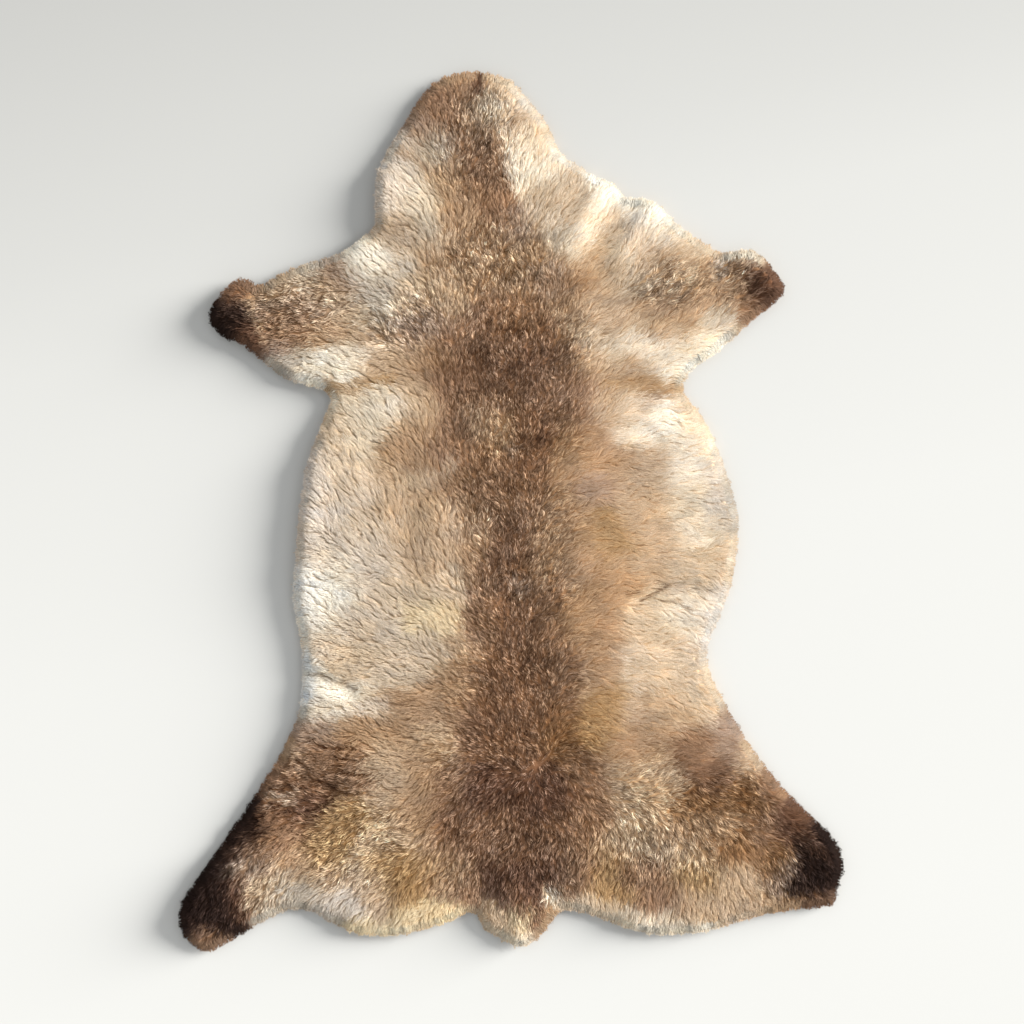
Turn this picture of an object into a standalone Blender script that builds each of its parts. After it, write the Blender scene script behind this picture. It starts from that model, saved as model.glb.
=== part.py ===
"""A whole shorn sheepskin lying wool side up, for Blender 4.5. Metres, +Z up, neck towards +Y.

One solid stands for the pelt, because the wool grows from the hide and nothing is sewn on. Its underside is
the leather, flat on the floor but for a few edges that curl up. Its top is the reach of the wool, with the
skin's main folds, furrows and lumps, and its rim stands out in separate locks.
"""

from collections import namedtuple
from math import exp, hypot, pi, sin, sqrt
from random import Random

import bmesh
import bpy
from mathutils import Vector, noise
from mathutils.geometry import delaunay_2d_cdt, intersect_point_line
from mathutils.kdtree import KDTree

MM = 0.001

# The skin from the top of the neck to the end of the longer hind leg
SKIN_LENGTH = 1056 * MM

# The leather and the wool that stands on it. The leather lies flat where a fold would lift it by less than
# the last of these.
HIDE_THICKNESS = 2 * MM
PILE_ON_BACK = 19 * MM
PILE_ON_LEGS = 14 * MM
LEG_REACH = 340 * MM
BACK_NARROWNESS = 0.75
FLAT_BELOW = 0.8 * MM

# The rim: how far the wool overhangs the cut edge of the hide, where it is widest, and how it rounds over
OVERHANG = 6 * MM
WIDEST_SHARE = 0.36
ROUNDING = 17 * MM
LOCK_PITCH = 14 * MM
LOCK_STANDS_OUT = (2.5 * MM, 6.5 * MM)
LOCK_LEAN = 2.5 * MM
NOTCH_DROP = 1.5 * MM
EDGE_TURN = 22 * MM

# The lumps of the fleece, coarse and fine: distance from one to the next, and height
LUMPS = ((120 * MM, 2.2 * MM), (34 * MM, 2.4 * MM))

# Spacing of the points that carry the shape: over the wool, in rows along its rim, down the middle of each
# narrow furrow, and over the flatter leather
WOOL_STEP = 12.3 * MM
GRID_JITTER = 0.16
RIM_ROWS = (5 * MM, 11 * MM)
RIM_ROW_STEP = 11 * MM
FURROW_STEP = 9 * MM
NARROW_MM = 10
LEATHER_STEP = 34 * MM
CLEAR_OF_RIM = 3.4 * MM
CLEAR_OF_POINTS = 5.5 * MM
EDGE_STEP = 2 * MM
SPLINE_STEPS = 8
SEED = 7

WOOL_COLOUR = (0.47, 0.34, 0.22, 1.0)
WOOL_ROUGHNESS = 0.92

# The outline, in millimetres from the middle of the skin, anticlockwise from the top of the neck
OUTLINE = {
    "neck top": [(-34, 529), (-64, 528), (-92, 517), (-110, 497)],
    "left neck": [(-139, 451), (-156, 420), (-164, 385), (-164, 344)],
    "left shoulder": [(-184, 326), (-203, 312), (-230, 303), (-264, 293), (-293, 277)],
    "left wrist": [(-305, 272), (-317, 279)],
    "left forefoot": [(-332, 280), (-346, 264), (-360, 247), (-363, 230), (-350, 214)],
    "left foreleg": [(-328, 204), (-308, 190), (-288, 173), (-266, 159), (-232, 149)],
    "left armpit": [(-220, 144), (-217, 132), (-223, 117)],
    "left flank": [(-237, 80), (-247, 50), (-254, 2), (-259, -60), (-262, -104), (-252, -160), (-251, -215)],
    "left thigh": [(-259, -252), (-275, -286), (-306, -338), (-337, -383), (-380, -444)],
    "left hindfoot": [(-396, -468), (-399, -491), (-389, -513), (-369, -527), (-350, -521)],
    "left hock": [(-330, -510), (-305, -494), (-279, -481), (-258, -476), (-238, -480)],
    "left rump": [(-213, -494), (-185, -505), (-157, -508), (-128, -506), (-100, -499), (-72, -490)],
    "tail root, left": [(-47, -479), (-39, -487)],
    "tail": [(-33, -502), (-18, -509), (-5, -516), (8, -521), (23, -517), (38, -505)],
    "tail root, right": [(48, -489), (62, -477)],
    "right rump": [(88, -481), (121, -492), (150, -502), (180, -507), (211, -506), (240, -501)],
    "right hock": [(275, -491), (311, -481), (346, -476), (374, -474)],
    "right hindfoot": [(386, -471), (390, -455), (397, -434), (397, -413), (385, -390)],
    "right thigh": [(362, -367), (311, -314), (272, -257), (247, -214), (235, -185), (234, -166)],
    "right waist": [(240, -147), (251, -119), (261, -93)],
    "right flank": [(268, -60), (272, -16), (267, 18), (256, 50), (241, 90)],
    "right armpit": [(226, 118), (211, 137), (205, 150), (209, 163), (220, 175)],
    "right foreleg": [(245, 192), (268, 211), (290, 232), (313, 250)],
    "right forefoot": [(326, 263), (326, 276), (314, 291), (302, 306), (287, 315), (269, 314)],
    "right shoulder": [(254, 311), (233, 322), (202, 343), (180, 366), (167, 374), (151, 377), (135, 379)],
    "ripples": [(121, 395), (103, 402), (76, 418), (57, 433)],
    "throat": [(46, 460), (33, 481), (15, 501), (-2, 520)],
}

# Folds and furrows that show from a step away. Their points are in millimetres, as in the outline. A fold
# that lifts the hide carries the leather up with it, and the others are only in the wool. A furrow has a
# negative height.
Fold = namedtuple("Fold", "name points half_width_mm height_mm lifts_hide")
FOLDS = [
    Fold("neck ripple, upper", [(116, 398), (91, 366), (74, 335)], 13, 8, True),
    Fold("neck ripple, lower", [(169, 370), (148, 334), (128, 305)], 13, 8, True),
    Fold("trough between them", [(136, 374), (122, 352), (108, 328)], 8, -3, False),
    Fold("right shoulder roll", [(212, 330), (186, 300), (150, 276)], 24, 4, True),
    Fold("right forefoot curl", [(283, 312), (300, 284), (318, 264)], 20, 7, True),
    Fold("right wrist nick", [(254, 312), (247, 296)], 6, -4, False),
    Fold("left forefoot curl", [(-350, 262), (-340, 234), (-322, 216)], 22, 9, True),
    Fold("left wrist nick", [(-305, 274), (-297, 250)], 7, -4, False),
    Fold("left shoulder mound", [(-186, 306), (-168, 300), (-150, 292)], 24, 5, False),
    Fold("left neck edge", [(-160, 400), (-158, 360)], 22, 8, True),
    Fold("left armpit furrow", [(-216, 137), (-179, 155), (-139, 172), (-91, 187)], 10, -5, False),
    Fold("right armpit furrow", [(208, 150), (154, 152), (106, 144)], 13, -4, False),
    Fold("left side swell", [(-236, 96), (-246, 20), (-250, -70)], 26, 5, True),
    Fold("left side furrow, upper", [(-67, 103), (-132, 58), (-168, 50)], 13, -3, False),
    Fold("left side furrow, lower", [(-56, 37), (-95, 20), (-136, 0)], 9, -4, False),
    Fold("left waist parting", [(-246, -193), (-223, -199), (-205, -205), (-191, -216)], 6, -5, False),
    Fold("left thigh wrinkle, upper", [(-254, -317), (-229, -329), (-203, -334)], 7, -5, False),
    Fold("left thigh wrinkle, lower", [(-250, -362), (-227, -348), (-222, -336)], 7, -4, False),
    Fold("left hindfoot curl", [(-386, -486), (-352, -440)], 28, 7, True),
    Fold("right parting, long", [(143, -112), (157, -106), (172, -99), (191, -88)], 6, -5, False),
    Fold("right parting, edge", [(190, -111), (216, -95), (247, -101)], 6, -4, False),
    Fold("right side ridge", [(150, -122), (190, -124), (232, -118)], 13, 3, False),
    Fold("right thigh ridge", [(136, -312), (160, -344), (176, -384)], 20, 3, False),
    Fold("right hindfoot curl", [(378, -424), (350, -440)], 24, 5, True),
    Fold("left rump edge", [(-190, -494), (-130, -494)], 20, 4, True),
    Fold("right rump edge", [(150, -490), (216, -492)], 20, 4, True),
    Fold("tail ridge", [(6, -508), (4, -470), (-2, -420)], 16, 4, False),
    Fold("tail root, left", [(-43, -482), (-31, -455)], 7, -5, False),
    Fold("tail root, right", [(59, -480), (43, -456)], 7, -5, False),
    Fold("tail split", [(-10, -510), (-1, -484)], 5, -3, False),
]

# The metres that one millimetre of the outline stands for, so that the skin has its length
DRAWN_Y = [y for stretch in OUTLINE.values() for _, y in stretch]
UNIT = SKIN_LENGTH / (max(DRAWN_Y) - min(DRAWN_Y))


def clear_scene():
    for found in list(bpy.data.objects):
        bpy.data.objects.remove(found)


def plan(points):
    """Points of the drawing as vectors in metres."""
    return [Vector(point) * UNIT for point in points]


def smooth_loop(landmarks, steps):
    """A closed Catmull-Rom curve through the landmarks, as plan points."""
    count = len(landmarks)
    curve = []
    for i in range(count):
        before, start, end, after = (landmarks[(i + k) % count] for k in (-1, 0, 1, 2))
        for step in range(steps):
            t = step / steps
            slope_in, slope_out = (end - before) / 2, (after - start) / 2
            bend = 2 * (start - end) + slope_in + slope_out
            turn = 3 * (end - start) - 2 * slope_in - slope_out
            curve.append(((bend * t + turn) * t + slope_in) * t + start)
    return curve


def loop_length(curve):
    return sum((b - a).length for a, b in zip(curve, curve[1:] + curve[:1]))


def evenly_spaced(curve, count):
    """The closed curve again, as that many points the same distance apart."""
    lengths = [(b - a).length for a, b in zip(curve, curve[1:] + curve[:1])]
    gap = sum(lengths) / count
    spaced, walked, i = [], 0.0, 0
    for k in range(count):
        while walked + lengths[i] < k * gap:
            walked += lengths[i]
            i += 1
        along = (k * gap - walked) / lengths[i]
        spaced.append(curve[i].lerp(curve[(i + 1) % len(curve)], along))
    return spaced


def outward_normals(loop, reach):
    """For each point of an anticlockwise loop, the way out of it, read over that reach to either side."""
    count = len(loop)
    span = max(1, round(reach * count / loop_length(loop)))
    normals = []
    for i in range(count):
        along = loop[(i + span) % count] - loop[i - span]
        normals.append(Vector((along.y, -along.x)).normalized())
    return normals


def fold_height(fold, place):
    """How much one fold raises or lowers a plan point: it is round across, and fades at its ends."""
    points = plan(fold.points)
    nearest = min(distance_to_stretch(place, a, b) for a, b in zip(points, points[1:]))
    return fold.height_mm * UNIT * exp(-((nearest / (fold.half_width_mm * UNIT)) ** 2))


def distance_to_stretch(place, start, end):
    _, share = intersect_point_line(place, start, end)
    on_it = start.lerp(end, min(1.0, max(0.0, share)))
    return (place - on_it).length


def hide_lift(place):
    """How far the leather is off the floor. It lies flat wherever no fold lifts it by a visible amount."""
    raised = sum(fold_height(fold, place) for fold in FOLDS if fold.lifts_hide)
    return max(0.0, raised - FLAT_BELOW)


def wool_relief(place):
    """The furrows, mounds and lumps that are only in the wool."""
    relief = sum(fold_height(fold, place) for fold in FOLDS if not fold.lifts_hide)
    for k, (spacing, height) in enumerate(LUMPS):
        relief += height * noise.noise(Vector((place.x / spacing, place.y / spacing, 5.0 * k)))
    return relief


def pile_height(place):
    """The wool is longest on the back and sides and shorter on the neck's end, the legs and the tail."""
    from_middle = hypot(place.x / BACK_NARROWNESS, place.y)
    share = min(1.0, max(0.0, (from_middle - LEG_REACH) / (SKIN_LENGTH / 2 - LEG_REACH)))
    ease = share * share * (3 - 2 * share)
    return PILE_ON_BACK + (PILE_ON_LEGS - PILE_ON_BACK) * ease


def wool_top(place, from_rim):
    """The height of the wool's tips: full inside, and rounding down to its widest line at the rim."""
    pile = pile_height(place)
    widest = WIDEST_SHARE * pile
    inward = min(1.0, from_rim / ROUNDING)
    dome = sqrt(1 - (1 - inward) ** 2)
    crown = widest + (pile - widest) * dome + wool_relief(place) * dome
    return hide_lift(place) + HIDE_THICKNESS + crown


def rim_of_locks(places, draw):
    """The widest line of the wool: by turns a notch and the tip of a lock, each a plan point and a height."""
    rim = []
    for i, (place, out) in enumerate(zip(places, outward_normals(places, EDGE_TURN))):
        reach = out * draw.uniform(*LOCK_STANDS_OUT) / 2
        if i % 2:
            lean = Vector((-out.y, out.x)) * draw.uniform(-LOCK_LEAN, LOCK_LEAN)
            height = wool_top(place, 0.0) + draw.uniform(-NOTCH_DROP, NOTCH_DROP)
            rim.append((place + reach + lean, height))
        else:
            rim.append((place - reach, wool_top(place, 0.0) - NOTCH_DROP))
    return rim


def grid_inside(loop, step, keep_off, draw):
    """A jittered triangular grid of plan points inside a loop, at least keep_off from its points."""
    low = Vector((min(p.x for p in loop), min(p.y for p in loop)))
    high = Vector((max(p.x for p in loop), max(p.y for p in loop)))
    nearest = point_finder(loop)
    rows = int((high.y - low.y) / (step * sin(pi / 3)))
    columns = int((high.x - low.x) / step) + 1
    found = []
    for row in range(rows + 1):
        for column in range(columns + 1):
            nudge = Vector((draw.uniform(-1, 1), draw.uniform(-1, 1))) * step * GRID_JITTER
            place = low + Vector(((column + row % 2 / 2) * step, row * step * sin(pi / 3))) + nudge
            if is_inside(place, loop) and nearest(place) > keep_off:
                found.append(place)
    return found


def is_inside(place, loop):
    """Whether a plan point is inside a loop: a ray to its right crosses the loop an odd number of times."""
    crossed = False
    for a, b in zip(loop, loop[1:] + loop[:1]):
        if (a.y > place.y) != (b.y > place.y):
            if place.x < a.x + (place.y - a.y) * (b.x - a.x) / (b.y - a.y):
                crossed = not crossed
    return crossed


def point_finder(points):
    """A function that gives the distance from a plan point to the nearest of these points."""
    tree = KDTree(len(points))
    for i, point in enumerate(points):
        tree.insert(point.to_3d(), i)
    tree.balance()
    return lambda place: tree.find(place.to_3d())[2]


def rows_along_rim(curve):
    """Rows of plan points that follow the rim, each at its own inset."""
    places = evenly_spaced(curve, round(loop_length(curve) / RIM_ROW_STEP))
    normals = outward_normals(places, EDGE_TURN)
    return [place - out * inset for inset in RIM_ROWS for place, out in zip(places, normals)]


def furrow_points():
    """Plan points down the middle of each narrow fold, so that it keeps its depth."""
    found = []
    for fold in FOLDS:
        if fold.half_width_mm > NARROW_MM:
            continue
        points = plan(fold.points)
        for start, end in zip(points, points[1:]):
            steps = max(1, round((end - start).length / FURROW_STEP))
            found += [start.lerp(end, step / steps) for step in range(steps)]
        found.append(points[-1])
    return found


def spread_out(candidates, gap):
    """The candidates in their order, without those that come closer than the gap to one kept before."""
    kept = []
    for place in candidates:
        if all((place - other).length > gap for other in kept):
            kept.append(place)
    return kept


def triangulated(loop, inner):
    """The triangles inside a closed loop of plan points, through the free points inside it."""
    count = len(loop)
    edges = [(i, (i + 1) % count) for i in range(count)]
    inside_the_loop = 1
    result = delaunay_2d_cdt(loop + inner, edges, [], inside_the_loop, 1e-7)
    faces, sources = result[2], result[3]
    return [[sources[corner][0] for corner in face] for face in faces]


def wool_points(rim_loop, curve, draw):
    """The free points of the wool's top: its rim rows, its furrows and the grid of the open fleece."""
    from_rim = point_finder(rim_loop)
    close = spread_out(rows_along_rim(curve) + furrow_points(), CLEAR_OF_POINTS)
    close = [place for place in close if is_inside(place, rim_loop) and from_rim(place) > CLEAR_OF_RIM]
    from_close = point_finder(close)
    grid = grid_inside(rim_loop, WOOL_STEP, RIM_ROWS[-1], draw)
    return close + [place for place in grid if from_close(place) > WOOL_STEP / 2]


def build_pelt():
    """The sheepskin as one closed mesh: the wool's top, its overhanging side and the leather underneath."""
    draw = Random(SEED)
    landmarks = plan(point for stretch in OUTLINE.values() for point in stretch)
    curve = smooth_loop(landmarks, SPLINE_STEPS)
    places = evenly_spaced(curve, 2 * round(loop_length(curve) / LOCK_PITCH))
    from_edge = point_finder(evenly_spaced(curve, round(loop_length(curve) / EDGE_STEP)))

    rim = rim_of_locks(places, draw)
    rim_loop = [place for place, _ in rim]
    wool = wool_points(rim_loop, curve, draw)
    ways_out = outward_normals(places, EDGE_TURN)
    hide_loop = [place - out * OVERHANG for place, out in zip(places, ways_out)]
    leather = grid_inside(hide_loop, LEATHER_STEP, LEATHER_STEP / 2, draw)

    mesh = bmesh.new()
    top = [mesh.verts.new((*place, height)) for place, height in rim]
    top += [mesh.verts.new((*place, wool_top(place, from_edge(place)))) for place in wool]
    under = [mesh.verts.new((*place, hide_lift(place))) for place in hide_loop + leather]
    for face in triangulated(rim_loop, wool):
        mesh.faces.new([top[corner] for corner in face])
    for face in triangulated(hide_loop, leather):
        mesh.faces.new([under[corner] for corner in reversed(face)])
    for i in range(len(rim)):
        after = (i + 1) % len(rim)
        mesh.faces.new((under[i], under[after], top[after], top[i]))
    bmesh.ops.triangulate(mesh, faces=mesh.faces)
    return mesh


def centre_over_origin(mesh):
    """Moves the mesh so that the middle of its box is over the origin, and its lowest face stays at zero."""
    for axis in (0, 1):
        places = [vertex.co[axis] for vertex in mesh.verts]
        middle = (min(places) + max(places)) / 2
        for vertex in mesh.verts:
            vertex.co[axis] -= middle


def wool_material():
    material = bpy.data.materials.new("wool")
    material.use_nodes = True
    shader = material.node_tree.nodes["Principled BSDF"]
    shader.inputs["Base Color"].default_value = WOOL_COLOUR
    shader.inputs["Roughness"].default_value = WOOL_ROUGHNESS
    shader.inputs["Metallic"].default_value = 0.0
    return material


def make_sheepskin():
    pelt = build_pelt()
    centre_over_origin(pelt)
    data = bpy.data.meshes.new("sheepskin")
    pelt.to_mesh(data)
    pelt.free()
    data.shade_smooth()
    data.materials.append(wool_material())
    sheepskin = bpy.data.objects.new("sheepskin", data)
    collection = bpy.data.collections.new("sheepskin")
    bpy.context.scene.collection.children.link(collection)
    collection.objects.link(sheepskin)


clear_scene()
make_sheepskin()
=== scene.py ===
# %% [markdown]
# # A whole shorn sheepskin, wool side up
#
# A sheepskin is one piece: a tanned hide about 2 mm thick, and the wool that still grows from it. This lesson
# dresses a plain solid of the skin with a leather underside, a dense undercoat and nearly three hundred
# thousand strands of wool, each with its own direction and colour.
#
# The solid comes from another script and is never changed. It gives the true outline, the folds and the
# height of the wool, and every later step reads its sizes from there.

from collections import namedtuple
from math import cos, pi, radians, sin

import bmesh
import bpy
import numpy as np
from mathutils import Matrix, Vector, noise
from mathutils.bvhtree import BVHTree
from mathutils.kdtree import KDTree


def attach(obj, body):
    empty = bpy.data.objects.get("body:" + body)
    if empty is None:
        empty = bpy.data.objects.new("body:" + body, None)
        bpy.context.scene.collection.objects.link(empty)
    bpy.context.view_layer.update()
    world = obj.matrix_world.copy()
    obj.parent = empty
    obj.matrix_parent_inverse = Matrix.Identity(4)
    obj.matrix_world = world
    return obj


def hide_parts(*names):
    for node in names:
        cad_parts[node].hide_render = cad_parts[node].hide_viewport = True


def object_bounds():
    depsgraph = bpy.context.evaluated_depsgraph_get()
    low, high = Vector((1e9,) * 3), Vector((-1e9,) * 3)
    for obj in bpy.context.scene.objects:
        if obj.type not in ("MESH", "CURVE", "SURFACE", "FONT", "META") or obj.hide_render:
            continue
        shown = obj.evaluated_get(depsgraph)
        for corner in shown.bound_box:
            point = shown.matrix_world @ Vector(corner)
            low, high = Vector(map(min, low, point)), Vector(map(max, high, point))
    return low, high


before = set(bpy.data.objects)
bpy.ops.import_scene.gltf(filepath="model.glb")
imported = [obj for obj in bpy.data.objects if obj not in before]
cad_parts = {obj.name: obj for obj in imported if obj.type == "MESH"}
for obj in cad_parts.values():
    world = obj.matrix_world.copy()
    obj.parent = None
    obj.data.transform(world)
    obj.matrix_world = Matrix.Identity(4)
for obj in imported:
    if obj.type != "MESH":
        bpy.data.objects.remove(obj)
cad_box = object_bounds()
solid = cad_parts["sheepskin"]
MM = 0.001
print("the solid's box in metres:", cad_box)

# %% [markdown]
# ## Where a drawn point lies
#
# Places below are in millimetres as they were drawn over the skin, x to the right and y up to the neck. The
# frame puts the middle of the solid's box over the origin, and the drawing's own middle is a millimetre off
# that, so one small shift takes a drawn place to the frame.

# %% From the drawing to the frame
DRAWING_MIDDLE = np.array((1.0, -1.0)) * MM


def drawn(points):
    """Drawn millimetres as an array of plan points in metres."""
    return np.atleast_2d(np.array(points, float)) * MM + DRAWING_MIDDLE


print("the drawing's middle, in metres:", DRAWING_MIDDLE)

# %% [markdown]
# ## The camera
#
# The skin is seen from straight above, face on. A long lens from high up keeps the rim of the wool from
# leaning outwards, as a wide lens close by would make it do. The height follows from the width of floor that
# the picture takes in.

# %% Camera
VIEW_WIDTH = 1228.8 * MM
LENS_MM = 85
SENSOR_MM = 36
WOOL_LEVEL = 12 * MM


def placed(name, data):
    """A new object with that data, in the scene."""
    made = bpy.data.objects.new(name, data)
    bpy.context.scene.collection.objects.link(made)
    return made


camera_data = bpy.data.cameras.new("camera")
camera_data.lens = LENS_MM
camera_data.sensor_width = SENSOR_MM
camera = placed("camera", camera_data)
camera.location = (*DRAWING_MIDDLE, WOOL_LEVEL + VIEW_WIDTH * LENS_MM / SENSOR_MM)
bpy.context.scene.camera = camera
print("camera height in metres:", round(camera.location.z, 3))

# %% [markdown]
# ## Floor and light
#
# The floor is a plain pale sheet, painted a little darker towards the top of the picture: painted shade,
# where the light falls off. One broad lamp stands low on the right, so the left side of the skin throws a
# soft shadow, four to five times as wide as the skin is thick. The rest of the light comes evenly from all
# round. A sun lamp is used, because a nearby lamp would light the right side more than the left.

# %% Floor
FLOOR_SIZE = 40.0
FLOOR_LEVEL = -0.3 * MM
FLOOR_TURN = radians(-14)
FLOOR_FROM = -0.55
FLOOR_TO = 0.75
# Painted shade: the floor's greys darken towards the top of the picture, for light that falls off there.
FLOOR_PAINTED_FALLOFF = ((0.0, 0.607), (0.36, 0.590), (0.65, 0.538), (0.75, 0.492), (1.0, 0.408))
FLOOR_TINT = np.array((1.0, 1.0, 0.965))


def new_material(name, roughness, sheen, gloss):
    """A new material, the tree of its nodes and its main shader."""
    material = bpy.data.materials.new(name)
    material.use_nodes = True
    shader = material.node_tree.nodes["Principled BSDF"]
    shader.inputs["Roughness"].default_value = roughness
    shader.inputs["Sheen Weight"].default_value = sheen
    shader.inputs["Specular IOR Level"].default_value = gloss
    return material, material.node_tree, shader


def place_on(tree):
    """The object's own coordinates."""
    return tree.nodes.new("ShaderNodeTexCoord").outputs["Object"]


def ramp_node(tree, value, start, end):
    """From 0 where the value is start to 1 where it is end."""
    made = tree.nodes.new("ShaderNodeMapRange")
    made.inputs["From Min"].default_value = start
    made.inputs["From Max"].default_value = end
    tree.links.new(value, made.inputs["Value"])
    return made.outputs["Result"]


def floor_material():
    material, tree, shader = new_material("pale floor", roughness=0.85, sheen=0, gloss=0.1)
    turn = tree.nodes.new("ShaderNodeMapping")
    turn.inputs["Rotation"].default_value = (0, 0, FLOOR_TURN)
    split = tree.nodes.new("ShaderNodeSeparateXYZ")
    tones = tree.nodes.new("ShaderNodeValToRGB")
    while len(tones.color_ramp.elements) < len(FLOOR_PAINTED_FALLOFF):
        tones.color_ramp.elements.new(0.5)
    for element, (position, grey) in zip(tones.color_ramp.elements, FLOOR_PAINTED_FALLOFF):
        element.position = position
        element.color = (*(grey * FLOOR_TINT), 1)
    tree.links.new(place_on(tree), turn.inputs["Vector"])
    tree.links.new(turn.outputs["Vector"], split.inputs[0])
    tree.links.new(ramp_node(tree, split.outputs["Y"], FLOOR_FROM, FLOOR_TO), tones.inputs["Fac"])
    tree.links.new(tones.outputs["Color"], shader.inputs["Base Color"])
    return material


def flat_floor():
    corner = FLOOR_SIZE / 2
    data = bpy.data.meshes.new("floor")
    plan = ((-corner, -corner), (corner, -corner), (corner, corner), (-corner, corner))
    corners = [(x, y, FLOOR_LEVEL) for x, y in plan]
    data.from_pydata(corners, [], [(0, 1, 2, 3)])
    data.materials.append(floor_material())
    return placed("floor", data)


floor = flat_floor()
print("floor:", FLOOR_SIZE, "m square")

# %% Light
LAMP_TURN = radians(18)
LAMP_RISE = radians(12)
LAMP_SPREAD = radians(35)
LAMP_STRENGTH = 13.1
LAMP_COLOUR = (1.0, 0.985, 0.96)
AROUND_STRENGTH = 0.70
AROUND_COLOUR = (0.97, 0.985, 1.0)

lamp_data = bpy.data.lights.new("broad lamp", "SUN")
lamp_data.angle = LAMP_SPREAD
lamp_data.energy = LAMP_STRENGTH
lamp_data.color = LAMP_COLOUR
lamp = placed("broad lamp", lamp_data)
to_lamp = Vector((cos(LAMP_TURN) * cos(LAMP_RISE), sin(LAMP_TURN) * cos(LAMP_RISE), sin(LAMP_RISE)))
lamp.rotation_euler = to_lamp.to_track_quat("Z", "Y").to_euler()

world = bpy.data.worlds.new("even light")
world.use_nodes = True
background = world.node_tree.nodes["Background"]
background.inputs["Color"].default_value = (*AROUND_COLOUR, 1)
background.inputs["Strength"].default_value = AROUND_STRENGTH
bpy.context.scene.world = world
bpy.context.scene.view_settings.view_transform = "Standard"
print("the lamp's light on the floor:", round(LAMP_STRENGTH * sin(LAMP_RISE), 2))

# %% [markdown]
# ## Reading the solid
#
# The solid is a closed mesh: the wool's top, an overhanging side and the leather below. It arrives with each
# face on its own corners, so a copy is welded first. A face that looks up belongs to the wool, and the loop
# of edges between such faces and the others is the rim, the widest line of the wool.

# %% Weld a copy and find the rim
WELD = 0.001 * MM


def welded_copy():
    mesh = bmesh.new()
    mesh.from_mesh(solid.data)
    bmesh.ops.remove_doubles(mesh, verts=mesh.verts, dist=WELD)
    mesh.normal_update()
    return mesh


def looks_up(face):
    return face.normal.z > 0


def rim_vertices(mesh):
    """The rim's vertices in order, anticlockwise as seen from above."""
    beside = {}
    for edge in mesh.edges:
        if looks_up(edge.link_faces[0]) != looks_up(edge.link_faces[1]):
            for vertex in edge.verts:
                beside.setdefault(vertex, []).append(edge.other_vert(vertex))
    start = next(iter(beside))
    loop = [start, beside[start][0]]
    while True:
        onward = [vertex for vertex in beside[loop[-1]] if vertex is not loop[-2]][0]
        if onward is start:
            break
        loop.append(onward)
    turned = sum(a.co.x * b.co.y - b.co.x * a.co.y for a, b in zip(loop, loop[1:] + loop[:1]))
    return loop if turned > 0 else loop[::-1]


skin = welded_copy()
rim = np.array([vertex.co[:] for vertex in rim_vertices(skin)])
print("welded to", len(skin.verts), "points, with", len(rim), "round the rim")

# %% [markdown]
# ## Maps of height
#
# Wool has to know how high the skin is at any place. Casting a ray for every strand would be slow, so rays
# are cast once on a 3 mm grid, from above for the wool's top and from below for the leather, and every later
# question is answered by blending the four nearest answers.

# %% Height maps
CELL = 3 * MM
MARGIN = 30 * MM
HIGH = 0.2

low, high = np.array(cad_box[0]), np.array(cad_box[1])
map_x = np.arange(low[0] - MARGIN, high[0] + MARGIN, CELL)
map_y = np.arange(low[1] - MARGIN, high[1] + MARGIN, CELL)
skin_tree = BVHTree.FromBMesh(skin)


def cast_map(start_z, way):
    """The height that a vertical ray meets first at each point of the grid, or NaN where it meets none."""
    heights = np.full((len(map_y), len(map_x)), np.nan)
    for row, y in enumerate(map_y):
        for column, x in enumerate(map_x):
            hit = skin_tree.ray_cast(Vector((x, y, start_z)), Vector((0, 0, way)))[0]
            if hit is not None:
                heights[row, column] = hit.z
    return heights


def three_by_three(values, **padding):
    """Nine copies of a map: each cell's neighbours in three rows and three columns, and the cell itself."""
    padded = np.pad(values, 1, **padding)
    rows, columns = values.shape
    return [padded[i:i + rows, j:j + columns] for i in range(3) for j in range(3)]


def spread_outwards(heights, rounds):
    """Fills the empty cells beside the skin with the mean of their filled neighbours, a few cells deep."""
    for _ in range(rounds):
        around = three_by_three(heights, constant_values=np.nan)
        filled = np.isfinite(around)
        count = filled.sum(0)
        mean = np.where(filled, around, 0).sum(0) / np.maximum(count, 1)
        heights = np.where(np.isfinite(heights) | (count == 0), heights, mean)
    return np.nan_to_num(heights)


def softened(values, rounds):
    for _ in range(rounds):
        values = np.mean(three_by_three(values, mode="edge"), axis=0)
    return values


FILL_ROUNDS = 9
raw_top = cast_map(HIGH, -1)
is_skin = np.isfinite(raw_top)
top_map = softened(spread_outwards(raw_top, FILL_ROUNDS), rounds=1)
leather_map = softened(spread_outwards(cast_map(-HIGH, 1), FILL_ROUNDS), rounds=2)
slope_y, slope_x = np.gradient(softened(top_map, rounds=2), CELL)
print("the skin covers", round(is_skin.sum() * CELL * CELL, 3), "square metres")

# %% Read a map at any place
SLOPE_SHOWS = 0.35
STEEPEST = 0.12
LAST_CELL = 1.001
TINY = 1e-12


def read_map(values, places):
    """The map's value at each plan point, blended from the four nearest cells."""
    across = np.clip((places[:, 0] - map_x[0]) / CELL, 0, len(map_x) - LAST_CELL)
    upward = np.clip((places[:, 1] - map_y[0]) / CELL, 0, len(map_y) - LAST_CELL)
    column, row = across.astype(int), upward.astype(int)
    u, v = across - column, upward - row
    below = values[row, column] * (1 - u) + values[row, column + 1] * u
    above = values[row + 1, column] * (1 - u) + values[row + 1, column + 1] * u
    return below * (1 - v) + above * v


def unit(vectors):
    return vectors / np.maximum(np.linalg.norm(vectors, axis=-1, keepdims=True), TINY)


def wool_normals(places):
    """The way out of the wool's top at each plan point. Wool scatters light, so its slopes count for less
    than those of a hard surface, and the steepest, at the rim, for no more than STEEPEST."""
    lean = -np.stack([read_map(slope_x, places), read_map(slope_y, places)], 1) * SLOPE_SHOWS
    lean *= np.minimum(1, STEEPEST / np.maximum(np.linalg.norm(lean, axis=1, keepdims=True), TINY))
    return unit(np.column_stack([lean, np.ones(len(places))]))


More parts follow.
